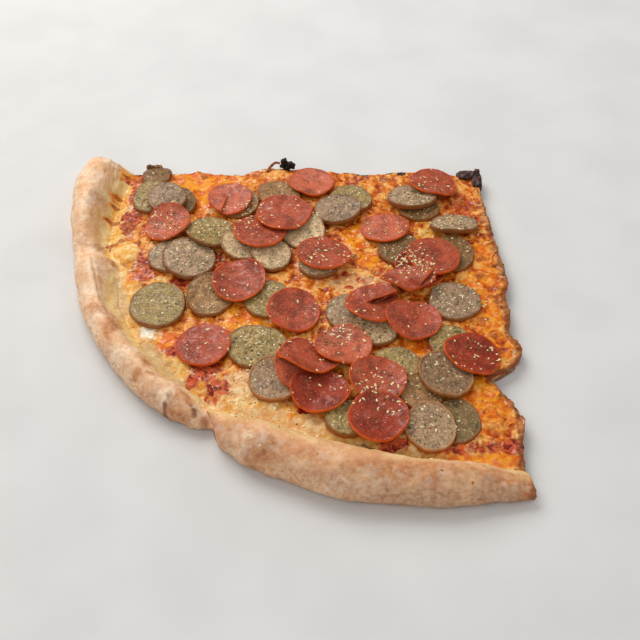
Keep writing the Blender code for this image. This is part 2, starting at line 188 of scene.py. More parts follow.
def rise(value, low, high):
    """0 below low, 1 above high, and smooth between them. With low above high it falls instead."""
    t = np.clip((value - low) / (high - low), 0, 1)
    return t * t * (3 - 2 * t)


def hump(value, middle=0, width=1):
    """1 at the middle, and falling smoothly to 0 on both sides."""
    return np.exp(-(((value - middle) / width) ** 2))


def oval(places, left, down, across, tall, turn=0.0):
    """How far each place is from an oval's middle: 1 on its edge."""
    there_left, there_down = left_and_down(places)
    x, y = there_left - left, there_down - down
    c, s = math.cos(math.radians(turn)), math.sin(math.radians(turn))
    return np.hypot((x * c + y * s) / across, (y * c - x * s) / tall)


# %% In and out of a bmesh
DOUBLES = 0.005 * MM


def to_mesh(name, work, smooth=True):
    """Ends the work on a bmesh."""
    mesh = bpy.data.meshes.new(name)
    work.to_mesh(mesh)
    work.free()
    if smooth:
        mesh.shade_smooth()
    return mesh


def close_mesh(name, work, doubles=DOUBLES):
    """The same for a closed form: doubles merged and faces outwards."""
    bmesh.ops.remove_doubles(work, verts=work.verts, dist=doubles)
    bmesh.ops.recalc_face_normals(work, faces=work.faces)
    return to_mesh(name, work)


def extrude_skirt(work, edge, steps, drop):
    """Extrudes an open edge in steps and hands back the last. The drop grows from 0 on the sheet to 1."""
    for step in range(1, steps + 1):
        grown = bmesh.ops.extrude_edge_only(work, edges=edge)["geom"]
        edge = [g for g in grown if isinstance(g, bmesh.types.BMEdge)]
        for vertex in {v for e in edge for v in e.verts}:
            vertex[drop] = step / steps
    return edge


def show(name, data):
    """A new object in the scene."""
    made = bpy.data.objects.new(name, data)
    bpy.context.scene.collection.objects.link(made)
    return made


def add_piece(mesh, finish, slot, *nodes):
    """Puts a mesh in the scene. It rides on the pizza, and stands for the CAD nodes that are named."""
    piece = show(mesh.name, mesh)
    mesh.materials.append(finish)
    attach(piece, "root")
    if nodes:
        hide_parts(*nodes)
    print(mesh.name, "has", len(mesh.polygons), "faces")


# %% [markdown]
# ## Finishes
#
# Food is never one colour. Each finish below is a small recipe: a base colour, then layers mixed over it
# where a noise pattern or a painted mask says so, then bump and gloss. The helper keeps each recipe short:
# every method adds a node or two and hands back the output.

# %% A helper for recipes
def paint(red, green, blue):
    """A screen colour from 0 to 255 as the shader wants it: linear, and with an alpha of 1."""
    return (*[((c / 255 + 0.055) / 1.055) ** 2.4 if c > 10 else c / 3294.6 for c in (red, green, blue)], 1.0)


def lighter(colour, share):
    return [min(255, c * share) for c in colour]


class Finish:
    def __init__(self, name, roughness, coat_roughness=0.2, specular=0.5):
        self.material = bpy.data.materials.new(name)
        self.material.use_nodes = True
        self.tree = self.material.node_tree
        self.shader = self.tree.nodes["Principled BSDF"]
        self.shader.inputs["Roughness"].default_value = roughness
        self.shader.inputs["Coat Roughness"].default_value = coat_roughness
        self.shader.inputs["Specular IOR Level"].default_value = specular
        self.places = self.node("ShaderNodeTexCoord").outputs["Object"]

    def node(self, kind, settings=None, inputs=None):
        made = self.tree.nodes.new(kind)
        for key, value in (settings or {}).items():
            setattr(made, key, value)
        for key, value in (inputs or {}).items():
            if isinstance(value, bpy.types.NodeSocket):
                self.tree.links.new(value, made.inputs[key])
            else:
                made.inputs[key].default_value = value
        return made

    def soft(self, size, detail, stretch=None, warp=0.0):
        """Cloudy noise from 0 to 1, in spots of this size in millimetres."""
        places = self.places
        if stretch:
            places = self.node("ShaderNodeMapping", None, {"Vector": places, "Scale": stretch}).outputs[0]
        inputs = {"Vector": places, "Scale": 1 / (size * MM), "Detail": detail, "Distortion": warp}
        return self.node("ShaderNodeTexNoise", None, inputs).outputs[0]

    def grains(self, size):
        """Cells of this size in millimetres: how far each place is from its cell's middle."""
        inputs = {"Vector": self.places, "Scale": 1 / (size * MM)}
        return self.node("ShaderNodeTexVoronoi", None, inputs).outputs["Distance"]

    def mask(self, name):
        return self.node("ShaderNodeAttribute", {"attribute_name": name}).outputs["Fac"]

    def where(self, name, size):
        """A painted mask with its edge broken up by noise."""
        rough = self.times(self.soft(size, 4, warp=1.0), 0.9)
        return self.band(self.plus(self.times(self.mask(name), 0.6), rough), 0.58, 0.92)

    def band(self, value, low, high, bottom=0.0, top=1.0):
        """Spreads the values from low to high smoothly over bottom to top. Low may be above high."""
        inputs = {0: value, 1: low, 2: high, 3: bottom, 4: top}
        return self.node("ShaderNodeMapRange", {"interpolation_type": "SMOOTHSTEP"}, inputs).outputs[0]

    def times(self, first, second):
        return self.node("ShaderNodeMath", {"operation": "MULTIPLY"}, {0: first, 1: second}).outputs[0]

    def plus(self, first, second):
        return self.node("ShaderNodeMath", {"operation": "ADD"}, {0: first, 1: second}).outputs[0]

    def mix(self, share, below, above):
        return self.node("ShaderNodeMix", {"data_type": "RGBA"}, {0: share, 6: below, 7: above}).outputs[2]

    def cloudy(self, size, detail, low, high, first, second, warp=0.0):
        """Two screen colours in cloudy spots: one where the noise is low, the other where it is high."""
        share = self.band(self.soft(size, detail, warp=warp), low, high)
        return self.mix(share, paint(*first), paint(*second))

    def over(self, colour, name, share, above):
        """A colour laid over another where a mask says so, at most this strongly."""
        return self.mix(self.times(self.mask(name), share), colour, above)

    def bump(self, height, depth, under=None):
        """Bump this deep in millimetres, over another bump if there is one."""
        inputs = {"Strength": 1.0, "Distance": depth * MM, "Height": height}
        if under is not None:
            inputs["Normal"] = under
        return self.node("ShaderNodeBump", None, inputs).outputs[0]

    def done(self, colour, normal=None, roughness=None, coat=None):
        wanted = {"Base Color": colour, "Normal": normal, "Roughness": roughness, "Coat Weight": coat}
        for name, output in wanted.items():
            if output is not None:
                self.tree.links.new(output, self.shader.inputs[name])
        return self.material


# %% [markdown]
# ## Dough
#
# The dough was stretched by hand, so its rim is uneven: puffed, pinched at one place and torn at another. It
# is one sheet of cells laid over the rim's section, extruded down at the two cuts, and closed below. Every
# point carries its address on the sheet, so one function can place them all.

# %% The dough's sheet
COLUMNS = 520
FLAT_ROWS = 48
RIM_ROWS = 88
WALL_STEPS = 12
LAST_ROW = 0.9999
# Across the rim and back under it: share of its width, then of its height before and after the tear.
SECTION = np.array(
    (
        (0.00, 0.00, 0.00), (0.10, 0.13, 0.20), (0.20, 0.35, 0.52), (0.33, 0.66, 0.83), (0.50, 0.93, 1.00),
        (0.68, 1.00, 0.95), (0.84, 0.82, 0.76), (0.95, 0.56, 0.52), (1.00, 0.30, 0.30), (0.97, 0.12, 0.12),
        (0.90, 0.02, 0.02), (0.80, 0.00, 0.00),
    )
)  # fmt: skip
OUTERMOST = 8
UNDERSIDE_WIDTH = 0.80


def spread_angles(share):
    """Angles from 0 to 90 degrees, closer together at the pinch and the tear."""
    fine = np.linspace(0, 90, 901)
    crowding = 1 + 1.5 * hump(fine, TEAR_ANGLE, 4) + 0.6 * hump(fine, PINCH_ANGLE, 4)
    grown = np.concatenate(((0.0,), np.cumsum((crowding[1:] + crowding[:-1]) / 2)))
    return np.interp(share, grown / grown[-1], fine)


def section_step(out):
    """Where a row is over the rim's section, from 0 at its foot to 11 below it."""
    return np.clip((out * (FLAT_ROWS + RIM_ROWS) - FLAT_ROWS) / RIM_ROWS, 0, 1) * (len(SECTION) - 1)


def dough_place(across, out, drop):
    angle = spread_angles(across)
    outer, width, height = (rim_at(angle, column) for column in (1, 2, 3))
    flat = np.clip(out * (FLAT_ROWS + RIM_ROWS) / FLAT_ROWS, 0, 1)
    step = section_step(out)
    steps = np.arange(len(SECTION))
    share = smooth_curve(steps, SECTION[:, 0], step)
    after = rise(angle, TEAR_ANGLE - 4, TEAR_ANGLE)
    up_before, up_after = (smooth_curve(steps, SECTION[:, column], step) for column in (1, 2))
    up = up_before * (1 - after) + up_after * after
    over = rise(step, OUTERMOST + 3, OUTERMOST - 1)
    z = (DOUGH_THICKNESS * over + (height - DOUGH_THICKNESS * over) * up) * (1 - drop)
    below = UNDERSIDE_WIDTH * np.where(step <= OUTERMOST, np.minimum(share, 1), 1)
    radius = (outer - width) * flat + width * (share * (1 - drop) + below * drop)
    inwards = np.clip((outer - radius) / width, 0, 1) * flat**3
    near_tear = hump(angle, TEAR_ANGLE, TEAR_SPREAD)
    x, y = on_the_pizza(angle - TEAR_SLANT * inwards * near_tear, radius)
    return np.column_stack((x, y, np.maximum(z, 0)))


def dough_sheet():
    work = bmesh.new()
    across, out, drop = (work.verts.layers.float.new(name) for name in ("across", "out", "drop"))
    bmesh.ops.create_grid(work, x_segments=COLUMNS, y_segments=FLAT_ROWS + RIM_ROWS, size=0.5)
    for vertex in work.verts:
        vertex[across] = vertex.co.x + 0.5
        vertex[out] = vertex.co.y + 0.5
    cuts = [e for e in work.edges if e.is_boundary and min(v[out] for v in e.verts) < LAST_ROW]
    extrude_skirt(work, cuts, WALL_STEPS, drop)
    addresses = np.array([(v[across], v[out], v[drop]) for v in work.verts])
    for vertex, place in zip(work.verts, dough_place(*addresses.T)):
        vertex.co = place
    bmesh.ops.remove_doubles(work, verts=work.verts, dist=DOUBLES)
    bmesh.ops.edgeloop_fill(work, edges=[e for e in work.edges if e.is_boundary])
    return close_mesh("dough_crust", work)


dough = dough_sheet()
print("the dough's sheet has", len(dough.vertices), "points")

# %% [markdown]
# Now the dough gets its unevenness. Everything is a push along the surface's own direction: wide lumps from
# proving, small ones from handling, and single features such as a crease or a knob, each placed one by one.

# %% Relief of the dough
# Left, down, half length and half width in millimetres, turn in degrees, height in millimetres.
DOUGH_FEATURES = (
    (251, 75, 4.5, 3.5, 20, 1.6), (259, 87, 9, 0.9, -65, -1.8), (246, 60, 9, 14, 0, -1.2),
    (262, 58, 6, 10, 0, 0.8), (234, 92, 10, 4, -50, 1.8), (237, 122, 26, 6.5, -72, -2.6),
    (246, 118, 24, 3, -68, 1.2), (243, 131, 9, 1.4, -55, -1.3), (198, 178, 12, 5, -50, -1.0),
    (143, 234, 7, 3.5, 10, 0.5), (142, 241, 9, 1.2, 10, -0.7), (246, 112, 20, 1.2, -72, -0.8),
    (252, 12, 10, 3, 90, -0.8), (262, 40, 14, 3, 85, 0.7), (3, 257, 5, 6, 0, -1.2),
    (193.5, 203.0, 2.2, 5.0, 30, 1.7), (179.2, 208.4, 2.2, 4.2, -26, 1.8),
)  # fmt: skip


def raise_dough(mesh):
    places, normals = read_points(mesh), read_points(mesh, "normal")
    out, drop = read_mask(mesh, "out"), read_mask(mesh, "drop")
    step = section_step(out)
    on_rim = rise(step, 0.3, 2.0) * rise(step, 11, 9)
    push = on_rim * (
        0.8 * lumps(places, 30, 1)
        + 0.6 * lumps(places, 12, 2)
        + 0.35 * lumps(places, 5, 3)
        + 0.16 * lumps(places, 2.2, 4)
    )
    coarse = rise(step, 5.0, 7.5) * rise(out, 0, 1)
    push += on_rim * coarse * 0.35 * np.abs(lumps(places, 2.6, 5, 2))
    for left, down, long, wide, turn, height in DOUGH_FEATURES:
        push += on_rim * height * hump(oval(places, left, down, long, wide, turn))
    cut = (drop > 0) & (drop < 1)
    push += cut * (0.7 * lumps(places, 4, 6, 2))
    fixed = (places[:, 2] < 0.02 * MM) | (drop >= 1)
    places += normals * (np.where(fixed, 0, push) * MM)[:, None]
    places[:, 2] = np.where(fixed, 0, np.maximum(places[:, 2], 0.05 * MM))
    write_points(mesh, places)
    return step


dough_step = raise_dough(dough)


# %% [markdown]
# Cheese, oil and sauce ran up the rim's inner slope, so the same patches are painted on the dough and on the
# cheese, and their border does not show. A patch is an oval whose edge is broken up by noise. Patches of bare
# dough are painted darker in part as shade. Further masks tell the finish where the dough is toasted,
# scorched or floury, and where it is purple-grey and darker, which is partly painted shade low on the rim's
# outer side.

# %% Patches of cheese, oil and sauce
# For each kind: left, down, half width and half height in millimetres, and strength.
PATCHES = {
    "red": (
        (231, 0, 6, 4, 1.0), (238, 7, 7, 2.5, 1.0), (237, 22, 3, 12, 0.9), (236, 50, 6, 13, 1.0),
        (222, 93, 8, 15, 0.8), (223, 85, 4, 4, 1.0), (218, 100, 4, 4, 1.0), (176, 88, 7, 12, 1.0),
        (196, 105, 7, 5, 1.0), (85, 7, 2.5, 5, 0.7), (17, 32, 13, 18, 0.45), (98, 57, 3, 2.2, 0.7),
        (100, 100, 3, 2.2, 0.7), (95, 98, 3, 2.2, 0.7), (85, 103, 3, 2.2, 0.7), (107, 111, 3, 2.2, 0.7),
        (92, 110, 3, 2.2, 0.7), (197, 162, 5, 4, 1.0), (182, 183, 5, 6, 1.0), (175, 175, 10, 10, 0.8),
        (169, 190, 9, 8, 0.7), (72, 227, 8, 5, 1.0), (118, 203, 7, 4, 1.0), (12, 216, 24, 22, 0.32),
        (8, 229, 6, 6, 1.0), (30, 230, 26, 4, 0.7),
    ),
    "brown": (
        (238, 7, 6, 1.5, 0.9), (237, 54, 4, 9, 0.75), (239, 68, 2.5, 2, 0.9), (228, 70, 2.5, 2, 0.9),
        (245, 75, 2, 2, 0.9), (190, 3, 2.5, 2, 0.9), (168, 0, 2.5, 2, 0.9), (66, 5, 3, 3, 1.0),
        (15, 28, 4, 4, 0.9), (88, 82, 2.5, 2.5, 0.8), (15, 75, 4, 3, 0.6), (8, 85, 4, 3, 0.6),
        (20, 92, 3, 3, 0.6), (12, 100, 4, 3, 0.6), (5, 118, 4, 3, 0.6), (3, 122, 3, 3, 0.6),
        (12, 137, 4, 3, 0.6), (8, 150, 4, 3, 0.6), (10, 208, 20, 26, 0.26), (241, 3, 6.5, 1.6, 1.0),
        (247, 25, 3.4, 1.8, 1.0), (247, 34, 3, 1.8, 1.0), (247, 48, 4.5, 1.8, 1.0), (244, 71, 5, 2.2, 0.9),
        (186.5, 189, 2, 0.9, 0.8), (183.5, 187, 2, 0.9, 0.8), (180.5, 185, 2, 0.9, 0.8),
    ),
    "oil": (
        (187, 20, 30, 26, 1.0), (87, 62, 9, 13, 1.0), (80, 86, 7, 7, 1.0), (8, 118, 15, 62, 0.5),
        (150, 140, 20, 15, 0.8), (201, 155, 7, 10, 0.9), (128, 211, 9, 6, 1.0), (55, 160, 6, 5, 1.0),
        (20, 198, 24, 26, 0.6), (20, 237, 26, 5, 1.0), (242, 3, 9, 6, 0.9), (246, 27, 7, 5, 0.9),
        (245, 35, 6, 4, 0.8), (246, 49, 7, 4, 0.7), (238, 74, 6, 4, 0.9), (227, 105, 5, 14, 0.8),
        (225, 128, 4, 6, 0.8), (172, 203, 13, 2.2, 1.0), (104, 240, 12, 3, 0.5), (38, 240, 30, 4, 0.8),
    ),
    "pale": (
        (205, -6, 10, 3, 0.7), (155, -6, 5, 3, 0.7), (184, 38, 4, 4, 1.0), (82, 61, 3, 6, 1.0),
        (122, 90, 3, 5, 1.0), (140, 130, 3, 10, 1.0), (90, 105, 30, 10, 0.55), (155, 187, 11, 12, 0.8),
        (150, 203, 26, 8, 0.4), (236, 100, 4, 9, 0.7), (212, 148, 9, 7, 0.8), (168, 200, 9, 4, 0.8),
        (145, 207, 17, 6, 0.9), (121, 215, 17, 6, 0.9), (152, 194, 16, 6, 0.7),
    ),
    "white": (
        (212, 148, 5, 4, 1.0),
    ),
    "yellow": (
        (210, 104, 5, 4, 0.9), (40, 60, 6, 8, 0.9), (191, 178, 5, 12, 0.8), (155, 207, 36, 12, 0.75),
        (97, 227, 13, 5, 0.9), (243, 58, 8, 12, 0.8), (244, 42, 6, 20, 0.7), (236, 78, 9, 7, 0.9),
        (226, 118, 7, 20, 0.7), (196, 172, 9, 14, 0.7), (70, 243, 30, 4, 0.7), (140, 222, 30, 5, 0.7),
    ),
    "char": (
        (84, -1, 3, 2, 0.8), (78, 0, 3, 2, 0.8), (62, -2, 3, 2, 0.8), (53, -1, 3, 2, 0.8),
        (0, 57, 2, 2, 0.8), (-3, 62, 2, 2, 0.8),
    ),
    # Bare dough on the inner slope where no cheese ran; its colour is darkened in part as painted shade.
    "bare": (
        (232, 118, 4, 9, 1.0), (236, 107, 4, 8, 1.0), (229, 128, 4, 6, 0.9), (211, 159, 5, 5, 1.0),
        (206, 165, 5, 5, 1.0), (201, 171, 5, 5, 1.0), (197, 177, 5, 5, 1.0), (192, 183, 5, 5, 1.0),
    ),
}  # fmt: skip


def blots(places, table, ragged, clear=1.4, full=0.4):
    """The strongest of a table of ovals at each place. An oval ends at clear and is whole at full."""
    total = np.zeros(len(places))
    for left, down, across, tall, strength in table:
        here = strength * rise(oval(places, left, down, across, tall) + ragged, clear, full)
        total = np.maximum(total, here)
    return total


def paint_patches(mesh, places, ragged, share=1.0):
    """Writes one mask for each kind of patch, weakened by a share, and hands them back."""
    masks = {kind: blots(places, rows, ragged, 1.35, 0.55) * share for kind, rows in PATCHES.items()}
    for kind, values in masks.items():
        write_mask(mesh, kind, values)
    return masks


def topping_layers(f, colour):
    """Oil, milky cheese, sauce and browned cheese, mixed in where they are painted."""
    oil = f.cloudy(5, 3, 0.4, 0.6, (222, 100, 2), (244, 156, 12))
    colour = f.mix(f.times(f.where("oil", 6), 0.85), colour, oil)
    yellow = f.cloudy(5, 3, 0.4, 0.6, (228, 160, 56), (238, 206, 132), warp=0.8)
    colour = f.mix(f.times(f.where("yellow", 6), 0.85), colour, yellow)
    pale = f.cloudy(3.6, 4, 0.42, 0.6, (226, 172, 112), (242, 214, 164), warp=0.8)
    colour = f.mix(f.times(f.where("pale", 5), 0.75), colour, pale)
    red = f.cloudy(3.5, 4, 0.38, 0.58, (122, 20, 12), (206, 92, 44), warp=1.0)
    colour = f.mix(f.where("red", 5), colour, red)
    # Bare dough of the slope, painted darker in part as shade.
    slope = f.cloudy(6, 3, 0.38, 0.62, (198, 162, 110), (216, 184, 134))
    colour = f.over(colour, "bare", 0.85, slope)
    brown = f.cloudy(2.4, 3, 0.38, 0.6, (128, 50, 14), (186, 96, 34))
    spots = f.band(f.plus(f.mask("brown"), f.times(f.soft(2.4, 3, warp=0.5), 0.6)), 0.62, 0.85)
    colour = f.mix(f.times(spots, 0.85), colour, brown)
    colour = f.mix(f.where("white", 3), colour, paint(238, 230, 206))
    return f.mix(f.where("char", 2), colour, paint(44, 22, 14))


# %% Masks of the dough
# Ovals as in the patches: left, down, half width, half height and strength.
TOASTED = (
    (255, 37, 4, 5, 0.5), (236, 90, 8, 6, 1.0), (250, 76, 6, 4, 0.6), (240, 136, 9, 5, 0.7),
    (232, 150, 5, 14, 0.9), (208, 178, 4, 3, 0.9), (212, 187, 3, 3, 0.9), (204, 187, 3, 2, 0.9),
    (191, 179, 2.5, 2, 1.0), (190, 210, 12, 7, 0.8), (3, 257, 8, 7, 0.9), (142, 240, 9, 4, 0.8),
    (172, 214, 5, 4, 0.6), (186, 201, 8, 4, 0.8), (62, 252, 40, 5, 0.75), (16, 252, 16, 5, 0.7),
    (112, 243, 16, 5, 0.3), (206, 198, 12, 8, 0.4), (232, 158, 6, 14, 0.4),
)  # fmt: skip
SCORCHED = (
    (184, 218, 5, 1.6, 0.6), (0, 258, 3, 5, 0.8), (194.8, 206.2, 1.9, 2.2, 0.9),
    (193.0, 203, 1.5, 2.4, 0.6), (191.4, 199.8, 1.3, 2.2, 0.45), (180.2, 206.6, 1.8, 2.0, 0.9),
    (179, 208.8, 1.9, 2.2, 1.0), (178, 210.8, 1.6, 1.8, 0.8), (173, 214, 2, 4, 0.5),
)  # fmt: skip
# Purple-grey darker patches. The three low on the rim's outer side near the second cut are painted shade.
PURPLE_GREY_AND_SHADE = (
    (143, 235, 9, 4, 0.9), (236, 90, 6, 4, 0.8), (186, 214, 6, 2.5, 0.5), (257, 38, 4, 5, 0.4),
    (60, 265, 34, 5, 0.9), (14, 262, 22, 7, 1.0), (95, 266, 20, 3, 0.5),
)  # fmt: skip
FLOURY = (
    (152, 233, 10, 7, 0.7), (145, 230, 8, 3.5, 0.8), (155, 226, 7, 5, 0.6), (100, 258, 30, 4, 0.7),
    (252, 78, 6, 5, 0.7),
)  # fmt: skip
# From this angle on, past the tear, the rim is browner.
SECOND_STRETCH = 53


def paint_dough(mesh):
    places = read_points(mesh)
    drop = read_mask(mesh, "drop")
    ragged = 0.35 * lumps(places, 6, 21, 2)
    wide = lumps(places, 16, 22, 2)
    second = rise(spread_angles(read_mask(mesh, "across")), SECOND_STRETCH - 1, SECOND_STRETCH + 1)
    # Painted shade: a purple-grey band low on the rim's outer side past the tear.
    low_shade_band = hump(dough_step + 0.5 * wide, 6.6, 0.75) * rise(second, 0, 1)
    flour_band = hump(dough_step + 0.5 * wide, 5.3, 0.8) * second
    paint_patches(mesh, places, ragged, rise(dough_step + second, 4.4, 3.0))
    write_mask(mesh, "second", second)
    write_mask(mesh, "inner", rise(dough_step + 0.8 * wide - 0.5 * second, 4.0, 1.6))
    write_mask(mesh, "oily", rise(dough_step + 0.6 * wide, 2.2, 0.6))
    write_mask(mesh, "striped", rise(oval(places, 253, 12, 6, 20), 1.4, 0.6))
    write_mask(mesh, "toasted", blots(places, TOASTED, ragged))
    write_mask(mesh, "scorched", blots(places, SCORCHED, ragged))
    write_mask(mesh, "bruised", np.maximum(blots(places, PURPLE_GREY_AND_SHADE, ragged), 0.35 * low_shade_band))
    floury = np.maximum(blots(places, FLOURY, ragged), 0.6 * flour_band)
    write_mask(mesh, "floury", np.maximum(floury, 0.3 * rise(wide, 0.1, 0.8)))
    write_mask(mesh, "outer", rise(dough_step, 5.0, 7.5))
    write_mask(mesh, "below", rise(dough_step, 8.5, 10.5))
    write_mask(mesh, "cut", drop > 0)
    left, down = left_and_down(places)
    write_mask(mesh, "baked_cut", 0.9 * rise(down, 20, 40) * rise(left, 90, 60))


paint_dough(dough)


# %% Finish of baked dough
def dough_finish():
    f = Finish("baked dough", 0.6, specular=0.25)
    cloudy = f.band(f.soft(13, 3), 0.36, 0.66)
    fine = f.band(f.soft(2.4, 4), 0.4, 0.64)
    first = f.mix(cloudy, paint(242, 196, 152), paint(250, 222, 190))
    second = f.mix(cloudy, paint(216, 152, 106), paint(238, 188, 140))
    colour = f.mix(f.mask("second"), first, second)
    colour = f.mix(f.times(fine, 0.35), colour, paint(206, 140, 90))
    rosy = f.times(f.band(f.soft(8, 3), 0.54, 0.66), 0.4)
    colour = f.mix(rosy, colour, paint(212, 142, 100))
    slope = f.mix(cloudy, paint(226, 186, 116), paint(244, 214, 152))
    colour = f.over(colour, "inner", 0.8, slope)
    grainy = f.band(f.soft(1.8, 4), 0.46, 0.6)
    coarse = f.mix(grainy, paint(240, 208, 174), paint(200, 146, 102))
    colour = f.over(colour, "outer", 0.45, coarse)
    stripes = f.band(f.soft(2.2, 2, (1, 0.12, 1)), 0.46, 0.6, 0, 0.4)
    colour = f.mix(f.times(f.mask("striped"), stripes), colour, paint(204, 146, 98))
    # Purple-grey and darker: partly painted shade low on the rim's outer side.
    purple_grey_shade = f.cloudy(3, 4, 0.4, 0.62, (156, 108, 80), (200, 160, 134))
    colour = f.over(colour, "bruised", 0.6, purple_grey_shade)
    toast = f.mix(fine, paint(200, 132, 78), paint(172, 98, 50))
    colour = f.over(colour, "toasted", 0.85, toast)
    scorch = f.mix(fine, paint(104, 52, 36), paint(142, 80, 48))
    colour = f.over(colour, "scorched", 0.9, scorch)
    oily = f.mix(fine, paint(230, 196, 128), paint(214, 162, 72))
    colour = f.over(colour, "oily", 0.75, oily)
    dusty = f.times(f.mask("floury"), f.band(f.soft(4, 5), 0.42, 0.64))
    colour = f.mix(f.times(dusty, 0.6), colour, paint(244, 222, 198))
    colour = topping_layers(f, colour)
    browned = f.band(f.soft(9, 4), 0.42, 0.66)
    under = f.mix(browned, paint(206, 160, 104), paint(140, 84, 44))
    colour = f.mix(f.mask("below"), colour, under)
    pores = f.band(f.grains(2.4), 0.15, 0.5)
    crumb = f.mix(pores, paint(190, 140, 84), paint(226, 190, 136))
    baked = f.times(f.mask("baked_cut"), f.band(f.soft(5, 4), 0.3, 0.55))
    crumb = f.mix(baked, crumb, paint(134, 72, 30))
    colour = f.mix(f.mask("cut"), colour, crumb)
    lines = f.times(f.mask("striped"), f.soft(2.2, 2, (1, 0.12, 1)))
    normal = f.bump(f.soft(1.5, 4), 0.3, f.bump(f.soft(5, 3), 0.8, f.bump(lines, 0.6)))
    return f.done(colour, normal, f.band(f.mask("oily"), 0, 1, 0.6, 0.35))


add_piece(dough, dough_finish(), "baked_dough", "dough")

# %% [markdown]
# ## Slices of meat
#
# A slice starts as a disc turned on a lathe: half a section spun round its middle. Each copy is then bent to
# lie where its CAD node lies. The node's own corners give the slice's outline and the way that it sags,
# through a smooth surface fitted to them. A few slices are folded, tipped or arched on top of that.

# %% A disc turned from half a section
TURNS = 96
RINGS = 19
DISC_DOUBLES = 1e-5
# Share of the radius and share of the thickness, from the flat top's last ring round the edge to below.
EDGE_SECTION = (
    (0.925, 0.0), (0.95, -0.01), (0.97, -0.06), (0.985, -0.15), (0.996, -0.30), (1.0, -0.5),
    (0.996, -0.72), (0.985, -0.88), (0.965, -0.97), (0.93, -1.0), (0.6, -1.0), (0.0, -1.0),
)  # fmt: skip


def turned_disc():
    work = bmesh.new()
    flat_top = [(ring * 0.9 / (RINGS - 1), 0.0) for ring in range(RINGS)]
    corners = [work.verts.new((share, 0, depth)) for share, depth in (*flat_top, *EDGE_SECTION)]
    edges = [work.edges.new(pair) for pair in zip(corners, corners[1:])]
    bmesh.ops.spin(
        work, geom=corners + edges, cent=(0, 0, 0), axis=(0, 0, 1), dvec=(0, 0, 0), angle=math.tau,
        steps=TURNS, use_merge=True, use_duplicate=False,
    )  # fmt: skip
    return close_mesh("disc", work, DISC_DOUBLES)


disc = turned_disc()
DISC = read_points(disc)
DISC_OUT = np.hypot(DISC[:, 0], DISC[:, 1])
DISC_TURN = np.arctan2(DISC[:, 1], DISC[:, 0])
DISC_FACES = [list(face.vertices) for face in disc.polygons]
print("a turned disc has", len(disc.polygons), "faces")


# %% How a CAD slice lies
SPOKES = 14


def bend_basis(x, y):
    """All products of x and y up to the second power, for a surface fitted to a few heights."""
    return np.column_stack([x**i * y**j for i in range(3) for j in range(3 - i)])


class Lie:
    """Where a CAD slice lies: its middle, its outline, its thickness and the height of its top."""

    def __init__(self, node):
        work = bmesh.new()
        work.from_mesh(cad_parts[node].data)
        bmesh.ops.remove_doubles(work, verts=work.verts, dist=0.01 * MM)
        points = np.array([v.co for v in work.verts])
        work.free()
        away = np.hypot(*(points[:, :2] - points[:, :2].mean(0)).T)
        points = points[np.argsort(away)]
        self.middle = points[0, :2]
        self.thickness = abs(points[0, 2] - points[1, 2])
        ring = points[2:]
        right, up = (ring[:, :2] - self.middle).T
        # The first spoke lies at about zero, so the turns start a little before it.
        turn = (np.arctan2(up, right) + 0.1) % math.tau - 0.1
        order = np.argsort(turn)
        spokes = ring[order].reshape(SPOKES, 4, 3)
        self.turn = turn[order].reshape(SPOKES, 4).mean(1)
        reach = np.hypot(spokes[:, :, 0] - self.middle[0], spokes[:, :, 1] - self.middle[1])
        self.reach = reach.max(1)
        is_inner = reach < reach.mean(1)[:, None]
        inner = [max(spoke[row], key=lambda p: p[2]) for spoke, row in zip(spokes, is_inner)]
        rim = [max(spoke[~row], key=lambda p: p[2]) for spoke, row in zip(spokes, is_inner)]
        tops = np.array([points[:2][np.argmax(points[:2, 2])], *inner, *rim])
        x, y = ((tops[:, :2] - self.middle) / self.reach.max()).T
        self.bend = np.linalg.lstsq(bend_basis(x, y), tops[:, 2], rcond=None)[0]
        self.ruffle = (tops[:, 2] - bend_basis(x, y) @ self.bend)[-SPOKES:]

    def round_the_edge(self, values, turn):
        turns = np.concatenate((self.turn - math.tau, self.turn, self.turn + math.tau))
        return smooth_curve(turns, np.tile(values, 3), turn)

    def edge(self, turn):
        return self.round_the_edge(self.reach, turn)

    def top(self, x, y):
        right, up = x - self.middle[0], y - self.middle[1]
        turn = np.arctan2(up, right)
        out = np.hypot(right, up) / self.edge(turn)
        smooth = bend_basis(right / self.reach.max(), up / self.reach.max()) @ self.bend
        return smooth + self.round_the_edge(self.ruffle, turn) * np.minimum(out, 1.1) ** 3


class LooseLie:
    """The same for a slice that the measured model leaves out."""

    def __init__(self, left, down, across, deep, height, thickness):
        self.middle = TIP - np.array((left, down)) * MM
        self.half = across * MM / 2, deep * MM / 2
        self.height = height * MM
        self.thickness = thickness * MM

    def edge(self, turn):
        return 1 / np.hypot(np.cos(turn) / self.half[0], np.sin(turn) / self.half[1])

    def top(self, x, y):
        return np.full(len(x), self.height)


# %% Slices that are out of the ordinary
# A fold starts at a place and runs in a direction. What lies on its left is lifted and pushed over its right.
# Left, down, turn in degrees, then in millimetres: lift, push, how soon it grows, its length, how far back.
FOLDS = {
    "pepperoni_02": (176, 49, 80, 1.6, 0.9, 3, 14, 30),
    "pepperoni_11": (84, 130, 24, 4.5, 3.4, 7, 40, 9),
    "pepperoni_13": (51, 119, 52, 2.4, 1.2, 3, 14, 8),
}
# Where the near side of a slice starts to be tipped up, where it ends and how high it gets, in millimetres.
TIPPED = {"pepperoni_13": (98, 121, 3.0)}
# An arch in an edge: left, down, how wide and how high in millimetres.
ARCHED = {"pepperoni_19": (128, 181, 6.5, 3.6)}
# The share of its radius by which an edge wanders, where that is not the kind's own.
RAGGED = {"sausage_01": 0.09}


